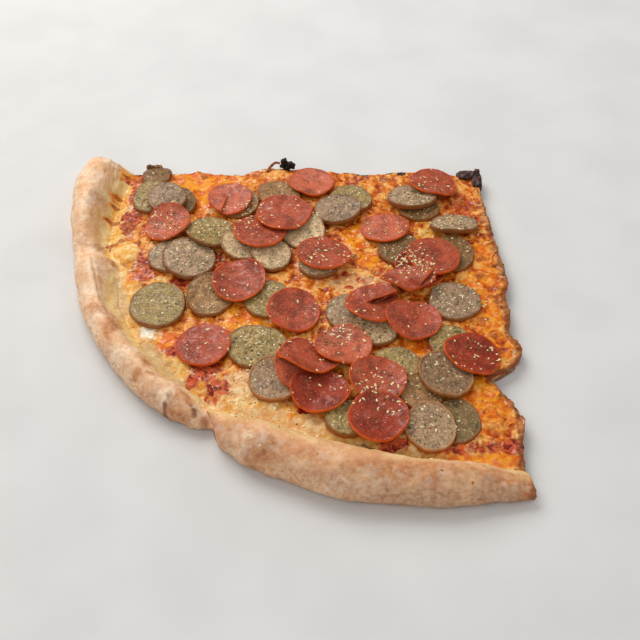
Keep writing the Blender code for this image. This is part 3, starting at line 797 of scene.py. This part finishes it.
# %% Fold a slice and keep it below others
def fold(places, left, down, turn, lift, push, ramp, length, back):
    """Folds the places; hands back a painted shade under the fold and a painted highlight on its ridge."""
    there_left, there_down = left_and_down(places)
    right, up = left - there_left, down - there_down
    c, s = math.cos(math.radians(turn)), math.sin(math.radians(turn))
    along, over = right * c + up * s, up * c - right * s
    start = rise(along, 0, ramp) * rise(along, length + 8, length)
    share = start * rise(over, -0.9, 0.9)
    near = share * rise(over, back, 0.5)
    places[:, 2] += lift * MM * share * rise(over, back + 6, back - 2)
    places[:, 0] += push * MM * s * near
    places[:, 1] -= push * MM * c * near
    # Painted shade: the slice is darkened under the raised part of the fold.
    hollow = min(1, lift / 4) * start * rise(over, -5, -1) * rise(over, 0.9, 0.1)
    # Painted highlight: a bright line along the ridge where the slice bends over.
    return hollow, start * hump(over, 0.9, 0.6)


def keep_below(places, over, gap):
    """Presses places down below whatever lies over them, so that nothing pokes through."""
    for low, high, tree in over:
        near = (places[:, :2] > low[:2]).all(1) & (places[:, :2] < high[:2]).all(1)
        for index in np.nonzero(near)[0]:
            x, y, z = places[index]
            hit = tree.ray_cast(Vector((x, y, BELOW_ALL)), UP)[0]
            if hit is not None:
                places[index, 2] = min(z, hit.z - gap[index])


# %% Lay the slices
# Between two surfaces that lie on each other.
CLEARANCE = 0.12 * MM
laid = []
meat = []


def laid_slice(name, lie, seed, relief, ragged):
    """The turned disc bent to lie as it should, and pressed under the slices that lie over it."""
    reach = lie.edge(DISC_TURN)
    own = np.full(len(reach), seed * 0.01)
    circle = np.column_stack((reach * np.cos(DISC_TURN), reach * np.sin(DISC_TURN), own))
    wander = lumps(circle, 9, 34, 2) + 0.5 * lumps(circle, 3, 35)
    reach = reach * DISC_OUT * (1 + RAGGED.get(name, ragged) * wander * DISC_OUT**3)
    x = lie.middle[0] + reach * np.cos(DISC_TURN)
    y = lie.middle[1] + reach * np.sin(DISC_TURN)
    flat = np.column_stack((x, y, own))
    above = rise(DISC[:, 2], -0.5, -0.05)
    z = lie.top(x, y) + DISC[:, 2] * lie.thickness + above * relief(flat, DISC_OUT, seed) * MM
    places = np.column_stack((x, y, z))
    if name in TIPPED:
        start, end, height = TIPPED[name]
        places[:, 2] += height * MM * rise(left_and_down(places)[1], start, end)
    if name in ARCHED:
        left, down, wide, height = ARCHED[name]
        places[:, 2] += height * MM * hump(oval(places, left, down, wide, wide))
    hollow, painted_crest_highlight = fold(places, *FOLDS[name]) if name in FOLDS else np.zeros((2, len(x)))
    keep_below(places, laid, CLEARANCE - 0.3 * MM * DISC[:, 2])
    mesh = disc.copy()
    mesh.name = name + "_slice"
    write_points(mesh, places)
    # Painted shade under a fold, for the finish to darken.
    write_mask(mesh, "hollow", hollow)
    write_mask(mesh, "rim", rise(DISC_OUT, 0.78, 1.0))
    side = rise(DISC[:, 2], -0.05, -0.3) * rise(DISC_OUT, 0.9, 0.97)
    # The edge mask also carries the painted highlight along a fold's ridge.
    write_mask(mesh, "side", np.maximum(side, above * painted_crest_highlight))
    laid.append((places.min(0), places.max(0), BVHTree.FromPolygons(places.tolist(), DISC_FACES)))
    meat.append(mesh)
    return mesh


def lay_slices(kind, shades, finishes, relief, first_seed, ragged):
    """Lays a kind of meat. The last slice is the topmost, so they are made from the top of the pile down."""
    for number in range(len(shades), 0, -1):
        node = f"{kind}_{number:02d}"
        mesh = laid_slice(node, Lie(node), first_seed + number, relief, ragged)
        add_piece(mesh, finishes[shades[number - 1]], f"{kind}_meat", node)


# %% [markdown]
# ## Pepperoni
#
# Cured sausage cut thin: deep red, dotted with fat, with a bright orange edge where its oil has run out. In
# the oven the edge cups up, and where slices meet they ruffle.

# %% Finish of pepperoni
def pepperoni_finish(name, base):
    f = Finish("pepperoni, " + name, 0.5, coat_roughness=0.16, specular=0.22)
    colour = f.cloudy(9, 3, 0.36, 0.62, lighter(base, 0.79), lighter(base, 1.05))
    pink = paint(min(255, base[0] + 16), base[1] + 26, base[2] + 30)
    colour = f.mix(f.band(f.soft(7, 2, warp=0.4), 0.5, 0.64, 0, 0.45), colour, pink)
    grain = f.soft(1.1, 3, warp=0.3)
    colour = f.mix(f.band(grain, 0.53, 0.68, 0, 0.65), colour, paint(*lighter(base, 1.25)))
    colour = f.mix(f.band(grain, 0.46, 0.30, 0, 0.6), colour, paint(*lighter(base, 0.66)))
    fat = f.band(f.grains(2.0), 0.30, 0.14, 0, 0.8)
    some = f.band(f.soft(3.1, 1), 0.52, 0.6)
    colour = f.mix(f.times(fat, some), colour, paint(222, 140, 98))
    colour = f.mix(f.band(f.mask("rim"), 0.35, 1.0, 0, 0.65), colour, paint(184, 62, 16))
    oily = f.times(f.band(f.mask("rim"), 0.80, 0.95), f.band(f.soft(5, 3), 0.4, 0.62, 0, 0.65))
    colour = f.mix(oily, colour, paint(226, 104, 30))
    # Orange of the cut edge, and on folded slices a painted highlight along the fold's ridge.
    colour = f.over(colour, "side", 0.9, paint(222, 92, 12))
    # Painted shade under the raised part of a fold: dark red.
    colour = f.over(colour, "hollow", 0.85, paint(84, 12, 4))
    normal = f.bump(f.soft(1.2, 4), 0.3, f.bump(f.soft(3.5, 2), 0.4))
    wet = f.band(f.soft(3.2, 3, warp=0.5), 0.54, 0.62, 0.0, 0.4)
    return f.done(colour, normal, f.band(f.soft(3, 3), 0.35, 0.65, 0.36, 0.58), wet)


# A slice's shade is partly its own tone and partly painted light: slices that catch the sheen, and one that
# lies in shadow, get the lighter rosy shade, and slices that lie in shade get the deep one.
PEPPERONI_SHADES = {"rosy": (188, 94, 64), "red": (168, 73, 45), "deep": (148, 50, 23)}
PEPPERONI_SHADE = (
    "rosy rosy red red rosy red red rosy deep red red red red red red red rosy deep red rosy red deep deep"
).split()
pepperoni_finishes = {name: pepperoni_finish(name, base) for name, base in PEPPERONI_SHADES.items()}


# %% Lay the pepperoni
def pepperoni_relief(flat, out, seed):
    ring = 0.22 * hump(out, 0.965, 0.025)
    return 0.14 * lumps(flat, 2.2, 41, 2) + 0.1 * lumps(flat, 8, 42) + ring


lay_slices("pepperoni", PEPPERONI_SHADE, pepperoni_finishes, pepperoni_relief, 50, 0.014)

# %% [markdown]
# ## Sausage
#
# Cooked Italian-style sausage, sliced from the link: coarse meat flecked with herbs and fat inside a browned
# casing that stands a little proud. Some slices are greener with herbs; some are paler or darker, partly in
# their own tone and partly as painted light and shade.

# %% Finish of sausage
def sausage_finish(name, base, herbs, casing=(140, 94, 58)):
    f = Finish("sausage, " + name, 0.5, coat_roughness=0.14, specular=0.22)
    colour = f.cloudy(5, 3, 0.36, 0.64, lighter(base, 0.84), lighter(base, 1.04))
    grain = f.soft(1.1, 3, warp=0.4)
    colour = f.mix(f.band(grain, 0.52, 0.68, 0, 0.8), colour, paint(*lighter(base, 1.22)))
    colour = f.mix(f.band(grain, 0.46, 0.30, 0, 0.65), colour, paint(*lighter(base, 0.64)))
    fat = f.band(f.grains(2.4), 0.32, 0.14, 0, 0.8)
    colour = f.mix(f.times(fat, f.band(f.soft(4.5, 1), 0.48, 0.58)), colour, paint(228, 208, 176))
    fleck = f.band(f.soft(1.8, 3, warp=0.8), 0.575, 0.63)
    fleck = f.times(fleck, f.band(f.soft(8, 2), 0.42, 0.58, herbs - 0.6, 1.0))
    leaf = f.cloudy(1.2, 2, 0.4, 0.6, (34, 38, 14), (80, 84, 32))
    colour = f.mix(f.times(fleck, herbs), colour, leaf)
    ring = f.times(f.band(f.mask("rim"), 0.3, 0.9), f.band(f.soft(7, 2), 0.3, 0.6, 0.4, 0.85))
    colour = f.mix(ring, colour, paint(*casing))
    colour = f.over(colour, "side", 0.85, paint(156, 92, 38))
    normal = f.bump(f.soft(1.2, 3), 0.35, f.bump(f.soft(3.5, 3), 0.6))
    wet = f.band(f.soft(2.4, 3, warp=0.5), 0.58, 0.66, 0.0, 0.7)
    return f.done(colour, normal, f.band(f.soft(3.5, 3), 0.35, 0.65, 0.34, 0.6), wet)


# Shades are partly the meat's own tone and partly painted light and shade: the light shade brightens slices
# that lie in the shadow of others, and the dark one is given in part to slices that lie in shade.
SAUSAGE_SHADES = {
    "olive": ((163, 136, 82), 0.95),
    "beige": ((174, 143, 110), 0.8),
    "grey": ((158, 127, 98), 0.8),
    "light": ((212, 180, 136), 0.9),
    "herb": ((132, 106, 66), 0.7),
    "dark": ((132, 95, 54), 0.8),
    "tan": ((164, 122, 78), 0.7),
    "ringed": ((148, 114, 84), 0.8, (194, 136, 88)),
    "pale_ring": ((168, 136, 104), 0.8, (196, 136, 84)),
}
SAUSAGE_SHADE = (
    "dark olive dark grey beige beige olive light tan tan olive grey light light light dark beige dark beige "
    "dark grey olive tan olive olive pale_ring beige light olive olive tan ringed pale_ring olive"
).split()
sausage_finishes = {name: sausage_finish(name, *pair) for name, pair in SAUSAGE_SHADES.items()}

# %% Lay the sausage
# Slices whose casing stands up as a clear ring, and how far in millimetres.
PROUD_CASING = {6: 0.5, 12: 0.5, 19: 0.4, 23: 0.5, 26: 0.9, 32: 1.1, 33: 0.7}


def sausage_relief(flat, out, seed):
    casing = PROUD_CASING.get(seed, 0.2)
    ring = casing * hump(out, 0.955, 0.022) - 0.5 * casing * hump(out, 0.89, 0.03)
    coarse = 0.26 * lumps(flat, 2.4, 31, 2) + 0.18 * lumps(flat, 7, 32)
    return coarse + ring * (0.75 + 0.35 * lumps(flat, 8, 33))


lay_slices("sausage", SAUSAGE_SHADE, sausage_finishes, sausage_relief, 0, 0.024)
herby = laid_slice("herby_sausage", LooseLie(36, 213, 26, 30, 9.2, 2.5), 40, sausage_relief, 0.03)
add_piece(herby, sausage_finishes["herb"], "sausage_meat")

# %% [markdown]
# ## Cheese and sauce
#
# Melted cheese is a thin uneven sheet: blistered, stringy, with pits where the sauce comes through. It is one
# square grid pulled into a quarter disc so that all its cells are nearly square, with a skirt for the cut
# edges. Under the slices it stays just below them. The sauce is the same sheet a little smaller.

# %% A square sheet pulled into the quarter
def quarter_sheet(name, cells, skirt, reach, top, bottom):
    """A closed sheet over the quarter. Its reach goes by the angle, its top and bottom by the share of it.

    It keeps two layers: that share, and the brink, which is how many millimetres it is to the second cut.
    """
    work = bmesh.new()
    keys = "first", "second", "drop", "share", "brink"
    first, second, drop, share, brink = (work.verts.layers.float.new(key) for key in keys)
    bmesh.ops.create_grid(work, x_segments=cells, y_segments=cells, size=0.5)
    for vertex in work.verts:
        vertex[first] = vertex.co.x + 0.5
        vertex[second] = vertex.co.y + 0.5
    edge = extrude_skirt(work, [e for e in work.edges if e.is_boundary], skirt, drop)
    bmesh.ops.edgeloop_fill(work, edges=edge)
    u, v, down = np.array([(p[first], p[second], p[drop]) for p in work.verts]).T
    out = np.maximum(u, v)
    least = np.minimum(u, v) / np.maximum(out, 1e-9)
    angle = np.where(u >= v, 45 * least, 90 - 45 * least)
    x, y = on_the_pizza(angle, reach(angle) * out)
    z = top(out) * (1 - down) + bottom(out) * down
    inwards = reach(angle) * out * np.cos(np.radians(angle)) / MM
    for vertex, place, here, far in zip(work.verts, np.column_stack((x, y, z)), out, inwards):
        vertex.co = place
        vertex[share] = here
        vertex[brink] = far
    for key in ("first", "second"):
        work.verts.layers.float.remove(work.verts.layers.float[key])
    bmesh.ops.recalc_face_normals(work, faces=work.faces)
    return to_mesh(name, work)


# %% The sheets of cheese and sauce
CHEESE_THICKNESS = 1.8 * MM
CHEESE_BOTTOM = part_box("cheese")[0].z
CHEESE_TOP = CHEESE_BOTTOM + CHEESE_THICKNESS
SAUCE_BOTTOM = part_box("sauce")[0].z - 0.4 * MM
SAUCE_TOP = CHEESE_BOTTOM + 0.2 * MM
SAUCE_SHARE = 0.93
UP_THE_RIM = 4 * MM
# The share of its reach from which the cheese thins out.
MARGIN = 0.955


def cheese_reach(angle):
    ragged = 1.2 * np.sin(np.radians(angle) * 23) + 0.8 * np.sin(np.radians(angle) * 41 + 1)
    foot = rim_at(angle, 1) - rim_at(angle, 2)
    slid = angle + TEAR_SLANT * hump(angle + TEAR_SLANT, TEAR_ANGLE, TEAR_SPREAD)
    slid_foot = rim_at(slid, 1) - rim_at(slid, 2)
    return np.minimum(foot, slid_foot) + UP_THE_RIM + ragged * MM


def sauce_reach(angle):
    return cheese_reach(angle) * SAUCE_SHARE


def level(height):
    return lambda out: np.full_like(out, height)


def cheese_bottom(out):
    return CHEESE_BOTTOM - CHEESE_THICKNESS * rise(out, MARGIN, 1.0)


cheese = quarter_sheet("melted_cheese", 290, 4, cheese_reach, level(CHEESE_TOP), cheese_bottom)
sauce = quarter_sheet("tomato_sauce_layer", 130, 2, sauce_reach, level(SAUCE_TOP), level(SAUCE_BOTTOM))


# %% A tree for finding surfaces
def surface_tree(meshes):
    """One search tree over several meshes, for casting rays at all of them."""
    points, faces, start = [], [], 0
    for mesh in meshes:
        points.extend(read_points(mesh).tolist())
        faces.extend([start + v for v in face.vertices] for face in mesh.polygons)
        start += len(mesh.vertices)
    return BVHTree.FromPolygons(points, faces)


meat_tree = surface_tree(meat)
dough_tree = surface_tree([dough])

# %% Relief and masks of the cheese
# The gap under a slice that cheese still fills, how far from a slice it wells up, and how high.
FILLS_GAP = 1.0 * MM
WELLS_WITHIN = 3.5 * MM
WELLS_UP = 1.3 * MM


def surface_heights(tree, places, otherwise):
    """The height of the surface below each place."""
    heights = np.full(len(places), otherwise)
    for index, (x, y, _) in enumerate(places.tolist()):
        hit = tree.ray_cast(Vector((x, y, ABOVE_ALL)), DOWN)[0]
        if hit is not None:
            heights[index] = hit.z
    return heights


def meet_the_meat(places, moving):
    """Cheese stays just below the slices, fills narrow gaps under them, and wells up at their edges."""
    for index in np.nonzero(moving)[0]:
        x, y, z = places[index]
        hit = meat_tree.ray_cast(Vector((x, y, 0)), UP)[0]
        if hit is not None:
            below = hit.z - CLEARANCE
            places[index, 2] = below if below < z + FILLS_GAP else z
            continue
        near, _, _, gap = meat_tree.find_nearest(Vector((x, y, z)), WELLS_WITHIN)
        if near is not None and near.z > z - 1 * MM:
            wanted = min(near.z + 0.9 * MM, z + WELLS_UP)
            places[index, 2] = max(z, z + (wanted - z) * (1 - gap / WELLS_WITHIN) ** 2)


def raise_cheese(mesh):
    places = read_points(mesh)
    drop, share = read_mask(mesh, "drop"), read_mask(mesh, "share")
    blobs = lumps(places, 8, 51, 2)
    strings = 1 - 2 * np.abs(lumps(places, 5.5, 52))
    fine = lumps(places, 2.6, 53, 2)
    ragged = 0.30 * lumps(places, 5, 54, 2) + 0.18 * lumps(places, 2.2, 55)
    masks = paint_patches(mesh, places, ragged)
    height = 0.55 * blobs + 0.4 * strings + 0.15 * fine
    left, down = left_and_down(places)
    crusty = rise(read_mask(mesh, "brink") + 1.8 * fine + 1.4 * blobs, 5.4, 1.6) * rise(down, 12, 30)
    height += crusty * (0.7 + 0.8 * fine)
    height += -0.6 * masks["red"] + 0.7 * masks["brown"] + 0.2 * masks["pale"] - 0.15 * masks["oil"]
    places[:, :2] += 0.6 * MM * sideways(places, 5, 56)
    top = drop < 0.5
    out = rise(share, MARGIN, 1.0)
    under = surface_heights(dough_tree, places, DOUGH_THICKNESS)
    film = (CHEESE_TOP - DOUGH_THICKNESS) * (1 - out) ** 1.5 - 0.35 * MM * out**2
    raised = under + film + height * MM * (1 - 0.85 * out)
    places[:, 2] = np.where(top, raised, places[:, 2])
    meet_the_meat(places, top & (share < 0.995))
    write_points(mesh, places)
    dried = rise(drop, 0.0, 0.3) * (0.5 + 0.5 * rise(left, 90, 60))
    write_mask(mesh, "edge", np.maximum(dried, 0.9 * crusty))
    write_mask(mesh, "high", 0.5 + 0.5 * height)
    write_mask(mesh, "margin", rise(share + 0.03 * blobs, 0.90, 0.97))


raise_cheese(cheese)


# %% Finish of melted cheese
def cheese_finish():
    f = Finish("melted cheese", 0.34, coat_roughness=0.1, specular=0.18)
    curds = f.plus(f.times(f.mask("high"), 0.3), f.times(f.soft(11, 3, warp=2.4), 0.7))
    colour = f.mix(f.band(curds, 0.36, 0.49), paint(142, 46, 4), paint(202, 92, 10))
    colour = f.mix(f.band(curds, 0.46, 0.56), colour, paint(224, 132, 26))
    colour = f.mix(f.band(curds, 0.51, 0.64), colour, paint(240, 176, 94))
    fine = f.soft(3.0, 3, warp=1.0)
    colour = f.mix(f.band(fine, 0.56, 0.68, 0, 0.45), colour, paint(240, 184, 106))
    colour = f.mix(f.band(fine, 0.44, 0.32, 0, 0.45), colour, paint(160, 56, 6))
    cream = f.cloudy(6, 3, 0.38, 0.6, (226, 164, 70), (236, 206, 138), warp=0.8)
    colour = f.over(colour, "margin", 0.85, cream)
    specks = f.band(f.soft(9, 4, warp=1.8), 0.60, 0.68, 0, 0.75)
    colour = f.mix(specks, colour, paint(168, 50, 12))
    colour = topping_layers(f, colour)
    crust = f.cloudy(3, 3, 0.4, 0.6, (78, 30, 12), (150, 66, 22))
    colour = f.over(colour, "edge", 0.85, crust)
    normal = f.bump(f.soft(1.6, 3), 0.3, f.bump(f.soft(4, 3, warp=0.6), 0.9))
    wet = f.band(f.soft(4, 3, warp=0.6), 0.53, 0.63, 0.0, 0.75)
    return f.done(colour, normal, f.band(f.soft(2.5, 3), 0.35, 0.65, 0.32, 0.55), wet)


add_piece(cheese, cheese_finish(), "melted_cheese", "cheese")


# %% Tomato sauce
def sauce_finish():
    f = Finish("tomato sauce", 0.3)
    colour = f.cloudy(2.5, 3, 0.35, 0.65, (130, 40, 12), (186, 78, 26))
    normal = f.bump(f.soft(1.5, 3), 0.4)
    return f.done(colour, normal)


spread = read_points(sauce)
spread[:, :2] += 0.7 * MM * sideways(spread, 4, 61)
write_points(sauce, spread)
add_piece(sauce, sauce_finish(), "tomato_sauce", "sauce")

# %% [markdown]
# ## Burnt bits and crumbs
#
# At the oven's hottest side the cheese ran over and burnt: a black crumb on a brown string at one cut, and a
# charred crust on the point. A lump is a ball squashed to size and roughened by noise. The string is a thin
# cylinder, subdivided and led from place to place.

# %% Lumps and a string
def lump(work, left, down, height, sizes, rough, square, seed):
    """A rough lump between ball and box, in millimetres. Sizes are half its width, depth and height."""
    made = bmesh.ops.create_icosphere(work, subdivisions=4, radius=1.0)["verts"]
    sphere = np.array([v.co for v in made])
    boxy = sphere / np.max(np.abs(sphere), axis=1)[:, None] * square + sphere * (1 - square)
    middle = np.array((TIP[0] - left * MM, TIP[1] - down * MM, height * MM))
    places = middle + boxy * np.array(sizes) * MM
    push = rough * (lumps(places, 4, seed, 2) + 0.5 * lumps(places, 1.5, seed + 1, 2)) * MM
    for vertex, place in zip(made, places + sphere * push[:, None]):
        vertex.co = place


def lump_mesh(name, table, rough, seed, square=0.35):
    work = bmesh.new()
    for row, (left, down, height, *sizes) in enumerate(table):
        lump(work, left, down, height, sizes, rough, square, seed + row)
    return to_mesh(name, work)


def string_mesh(name, path):
    """A tube along places told by left, down, height and radius in millimetres."""
    work = bmesh.new()
    bmesh.ops.create_cone(work, cap_ends=True, segments=12, radius1=1, radius2=1, depth=1)
    long = [e for e in work.edges if abs(e.verts[0].co.z - e.verts[1].co.z) > 0.5]
    bmesh.ops.subdivide_edges(work, edges=long, cuts=24)
    steps = np.arange(len(path))
    left, down, height, radius = np.array(path, float).T
    for vertex in work.verts:
        along = (vertex.co.z + 0.5) * steps[-1]
        here, ahead = (
            Vector([
                TIP[0] - smooth_curve(steps, left, at) * MM,
                TIP[1] - smooth_curve(steps, down, at) * MM,
                smooth_curve(steps, height, at) * MM,
            ])
            for at in np.array((along, along + 0.05))
        )  # fmt: skip
        turn = (ahead - here if along < steps[-1] else Vector((1, 0, -0.4))).to_track_quat("Z", "Y")
        wide = float(smooth_curve(steps, radius, np.float64(along)))
        across = Vector((vertex.co.x, vertex.co.y, 0)) * wide * MM
        vertex.co = here + turn @ across
    return close_mesh(name, work)


def burnt_finish(name, dark, light):
    f = Finish(name, 0.5, specular=0.3)
    colour = f.cloudy(2.2, 4, 0.42, 0.62, dark, light)
    return f.done(colour, f.bump(f.soft(1.2, 4), 0.5), f.band(f.soft(2, 3), 0.35, 0.65, 0.35, 0.7))


black = burnt_finish("burnt black", (22, 16, 16), (52, 40, 38))
tip_brown = burnt_finish("burnt crust", (38, 22, 20), (104, 70, 60))
string_brown = burnt_finish("browned cheese", (110, 40, 12), (196, 120, 60))
scrap_brown = burnt_finish("browned meat", (88, 48, 24), (150, 106, 62))

# %% Burnt bits
# Left, down, height, then half width, half depth and half height, all in millimetres.
CRUMB = (
    (135.5, -8.6, 12.4, 2.3, 2.0, 2.6), (131.9, -8.4, 10.2, 2.5, 2.0, 2.5),
    (129.4, -8.0, 9.2, 1.3, 1.1, 2.0), (133.6, -7.2, 8.4, 2.6, 2.0, 2.4), (137.2, -7.8, 9.6, 1.5, 1.5, 1.6),
)  # fmt: skip
POINT = (
    (7.4, 1.4, 7.4, 7.2, 4.2, 2.9), (2.4, 6.6, 6.4, 3.6, 7.0, 3.6), (1.2, -1.4, 9.2, 1.9, 1.6, 1.9),
    (13.4, 0.2, 6.8, 2.8, 2.0, 1.7),
)  # fmt: skip
SCRAP = (
    (229.4, -5.4, 9.4, 1.7, 1.5, 3.0), (227.0, -6.4, 9.2, 2.0, 1.4, 1.6), (223.0, -7.4, 8.6, 2.4, 1.4, 1.4),
)  # fmt: skip
CRUMBS = ((89.0, 231.0, 7.4, 4.6, 2.4, 2.2), (83.5, 232.0, 7.0, 3.2, 1.8, 1.8))
# Left, down, height and radius along the string, in millimetres.
STRING = (
    (147.0, -3.6, 6.8, 1.3), (144.8, -7.0, 9.3, 1.0), (141.6, -9.0, 11.2, 0.9), (138.4, -8.8, 11.0, 0.8),
)  # fmt: skip
add_piece(lump_mesh("burnt_crumb", CRUMB, 0.7, 71), black, "charred_crumb")
add_piece(lump_mesh("burnt_point", POINT, 0.6, 81, 0.7), tip_brown, "charred_crumb")
add_piece(string_mesh("burnt_string", STRING), string_brown, "charred_crumb")
add_piece(lump_mesh("browned_scrap", SCRAP, 0.6, 91), scrap_brown, "sausage_meat")
add_piece(lump_mesh("sausage_crumbs", CRUMBS, 0.6, 97), sausage_finishes["tan"], "sausage_meat")

# %% [markdown]
# ## Seasoning
#
# Grated hard cheese, dried herbs and a few chilli flakes were shaken over the baked pizza, and lie in drifts.
# Each kind is one mesh of many simple grains: an icosphere squashed, turned and dropped on what is below it.

# %% Drop grains on the pizza
everything = surface_tree([dough, cheese, *meat])
# Left, down, how far the drift spreads in millimetres, and its share of the grains.
DRIFTS = (
    (56, 92, 6, 7), (47, 101, 6, 7), (157, 50, 8, 6), (193, 88, 9, 4), (209, 60, 8, 5), (98, 152, 9, 5),
    (80, 196, 9, 7), (177, 119, 9, 2), (29, 124, 10, 3), (23, 56, 8, 3), (49, 30, 9, 4), (147, 160, 10, 5),
    (108, 86, 9, 3), (181, 64, 9, 3), (23, 168, 9, 4), (51, 219, 8, 2), (40, 184, 8, 2), (34, 15, 9, 2),
    (68, 60, 10, 3), (120, 100, 60, 16), (70, 150, 50, 12), (143, 206, 16, 3), (150, 180, 30, 3),
    (110, 60, 40, 6),
)  # fmt: skip
# A grain is dropped again where it would miss the top, or land on a side.
LOWEST_GRAIN = 5 * MM
LEAST_UPWARD = 0.5


def drop_place(chance):
    """A random place for a grain: where it lands, and which way the surface faces there."""
    while True:
        left, down, spread_out, _ = chance.choices(DRIFTS, [drift[3] for drift in DRIFTS])[0]
        x = TIP[0] - (left + chance.gauss(0, spread_out)) * MM
        y = TIP[1] - (down + chance.gauss(0, spread_out)) * MM
        spot, facing, _, _ = everything.ray_cast(Vector((x, y, ABOVE_ALL)), DOWN)
        if spot is not None and spot.z > LOWEST_GRAIN and facing.z > LEAST_UPWARD:
            return spot, facing


def grains_mesh(name, count, seed, size, flat, long):
    """Many small grains in one mesh. Size, flatness and length are pairs to draw from."""
    chance = random.Random(seed)
    work = bmesh.new()
    for _ in range(count):
        spot, facing = drop_place(chance)
        width = chance.uniform(*size) * MM / 2
        shape = (width * chance.uniform(*long), width, width * chance.uniform(*flat))
        turn = Matrix.Rotation(chance.uniform(0, math.tau), 4, "Z")
        turn = turn @ Matrix.Rotation(chance.gauss(0, 0.3), 4, "X")
        upright = facing.to_track_quat("Z", "Y").to_matrix().to_4x4()
        lifted = Matrix.Translation(spot + facing * shape[2] * 0.6)
        place = lifted @ upright @ turn @ Matrix.Diagonal((*shape, 1))
        made = bmesh.ops.create_icosphere(work, subdivisions=1, radius=1.0, matrix=place)["verts"]
        for vertex in made:
            vertex.co += Vector([chance.uniform(-0.25, 0.25) * width for _ in range(3)])
    return to_mesh(name, work, smooth=False)


def grain_finish(name, first, second, roughness):
    f = Finish(name, roughness)
    return f.done(f.cloudy(1.5, 2, 0.4, 0.6, first, second), f.bump(f.soft(0.5, 2), 0.1))


# Name, slot and count, pairs to draw size in millimetres, flatness and length from, then the finish.
SEASONING = (
    ("grated_hard_cheese", "grated_hard_cheese", 900, ((0.7, 1.4), (0.35, 0.7), (1.0, 2.4)),
     ((232, 206, 140), (250, 236, 190), 0.5)),
    ("dried_herbs", "dried_herbs", 700, ((0.5, 1.1), (0.2, 0.5), (1.2, 2.6)),
     ((64, 60, 20), (118, 112, 44), 0.7)),
    ("chilli_bits", "dried_herbs", 90, ((0.7, 1.3), (0.3, 0.6), (1.0, 1.6)),
     ((160, 50, 12), (206, 110, 30), 0.5)),
)  # fmt: skip
for seed, (name, slot, count, draws, finish) in enumerate(SEASONING, 1):
    mesh = grains_mesh(name, count, seed, *draws)
    add_piece(mesh, grain_finish(name.replace("_", " "), *finish), slot)

# %% [markdown]
# ## Floor, light and camera
#
# A pale plain floor. The main light is big and soft, behind and to the left, and puts the wet shine on the
# meat. A wide one at the front left keeps the rim's near side bright, and a weak one fills from the right.

# %% Floor
work = bmesh.new()
bmesh.ops.create_grid(work, x_segments=1, y_segments=1, size=4.0)
bmesh.ops.translate(work, verts=work.verts, vec=(0, 0, -0.05 * MM))
floor_mesh = to_mesh("floor", work, smooth=False)
floor = show("floor", floor_mesh)
f = Finish("pale floor", 0.8, specular=0.2)
floor_mesh.materials.append(f.done(f.cloudy(60, 2, 0.3, 0.7, (214, 213, 211), (220, 219, 217))))


# %% Lights
def area_light(name, place, size, power, colour):
    """A soft light of this width and height in metres, turned towards the middle."""
    lamp = bpy.data.lights.new(name, "AREA")
    lamp.shape = "RECTANGLE"
    lamp.size, lamp.size_y = size
    lamp.energy = power
    lamp.color = colour
    made = show(name, lamp)
    made.location = place
    made.rotation_mode = "QUATERNION"
    made.rotation_quaternion = (-Vector(place)).to_track_quat("-Z", "Y")


area_light("light behind", (-0.5, 0.8, 1.0), (1.1, 0.9), 15.5, (1.0, 0.98, 0.96))
area_light("light on the right", (1.0, 0.2, 0.8), (0.9, 0.9), 2.6, (1.0, 0.99, 0.98))
area_light("light in front", (-0.4, -0.85, 1.15), (1.4, 1.2), 7, (1.0, 0.99, 0.98))
world = bpy.data.worlds.new("pale room")
world.use_nodes = True
world.node_tree.nodes["Background"].inputs["Color"].default_value = (1.0, 1.0, 1.0, 1.0)
world.node_tree.nodes["Background"].inputs["Strength"].default_value = 0.26
bpy.context.scene.world = world
bpy.context.scene.view_settings.view_transform = "Standard"

# %% Camera
SENSOR_WIDTH = 36
LENS = 53.4375
LOOKS_AT = Vector((24.7, -8.5, 7.0)) * MM
DISTANCE = 567.8 * MM
LOOKS_DOWN = math.radians(47.114)
camera_data = bpy.data.cameras.new("camera")
camera_data.sensor_width = SENSOR_WIDTH
camera_data.lens = LENS
camera = show("camera", camera_data)
camera.location = LOOKS_AT + Vector((0, -math.cos(LOOKS_DOWN), math.sin(LOOKS_DOWN))) * DISTANCE
camera.rotation_euler = (math.radians(90) - LOOKS_DOWN, 0, 0)
bpy.context.scene.camera = camera
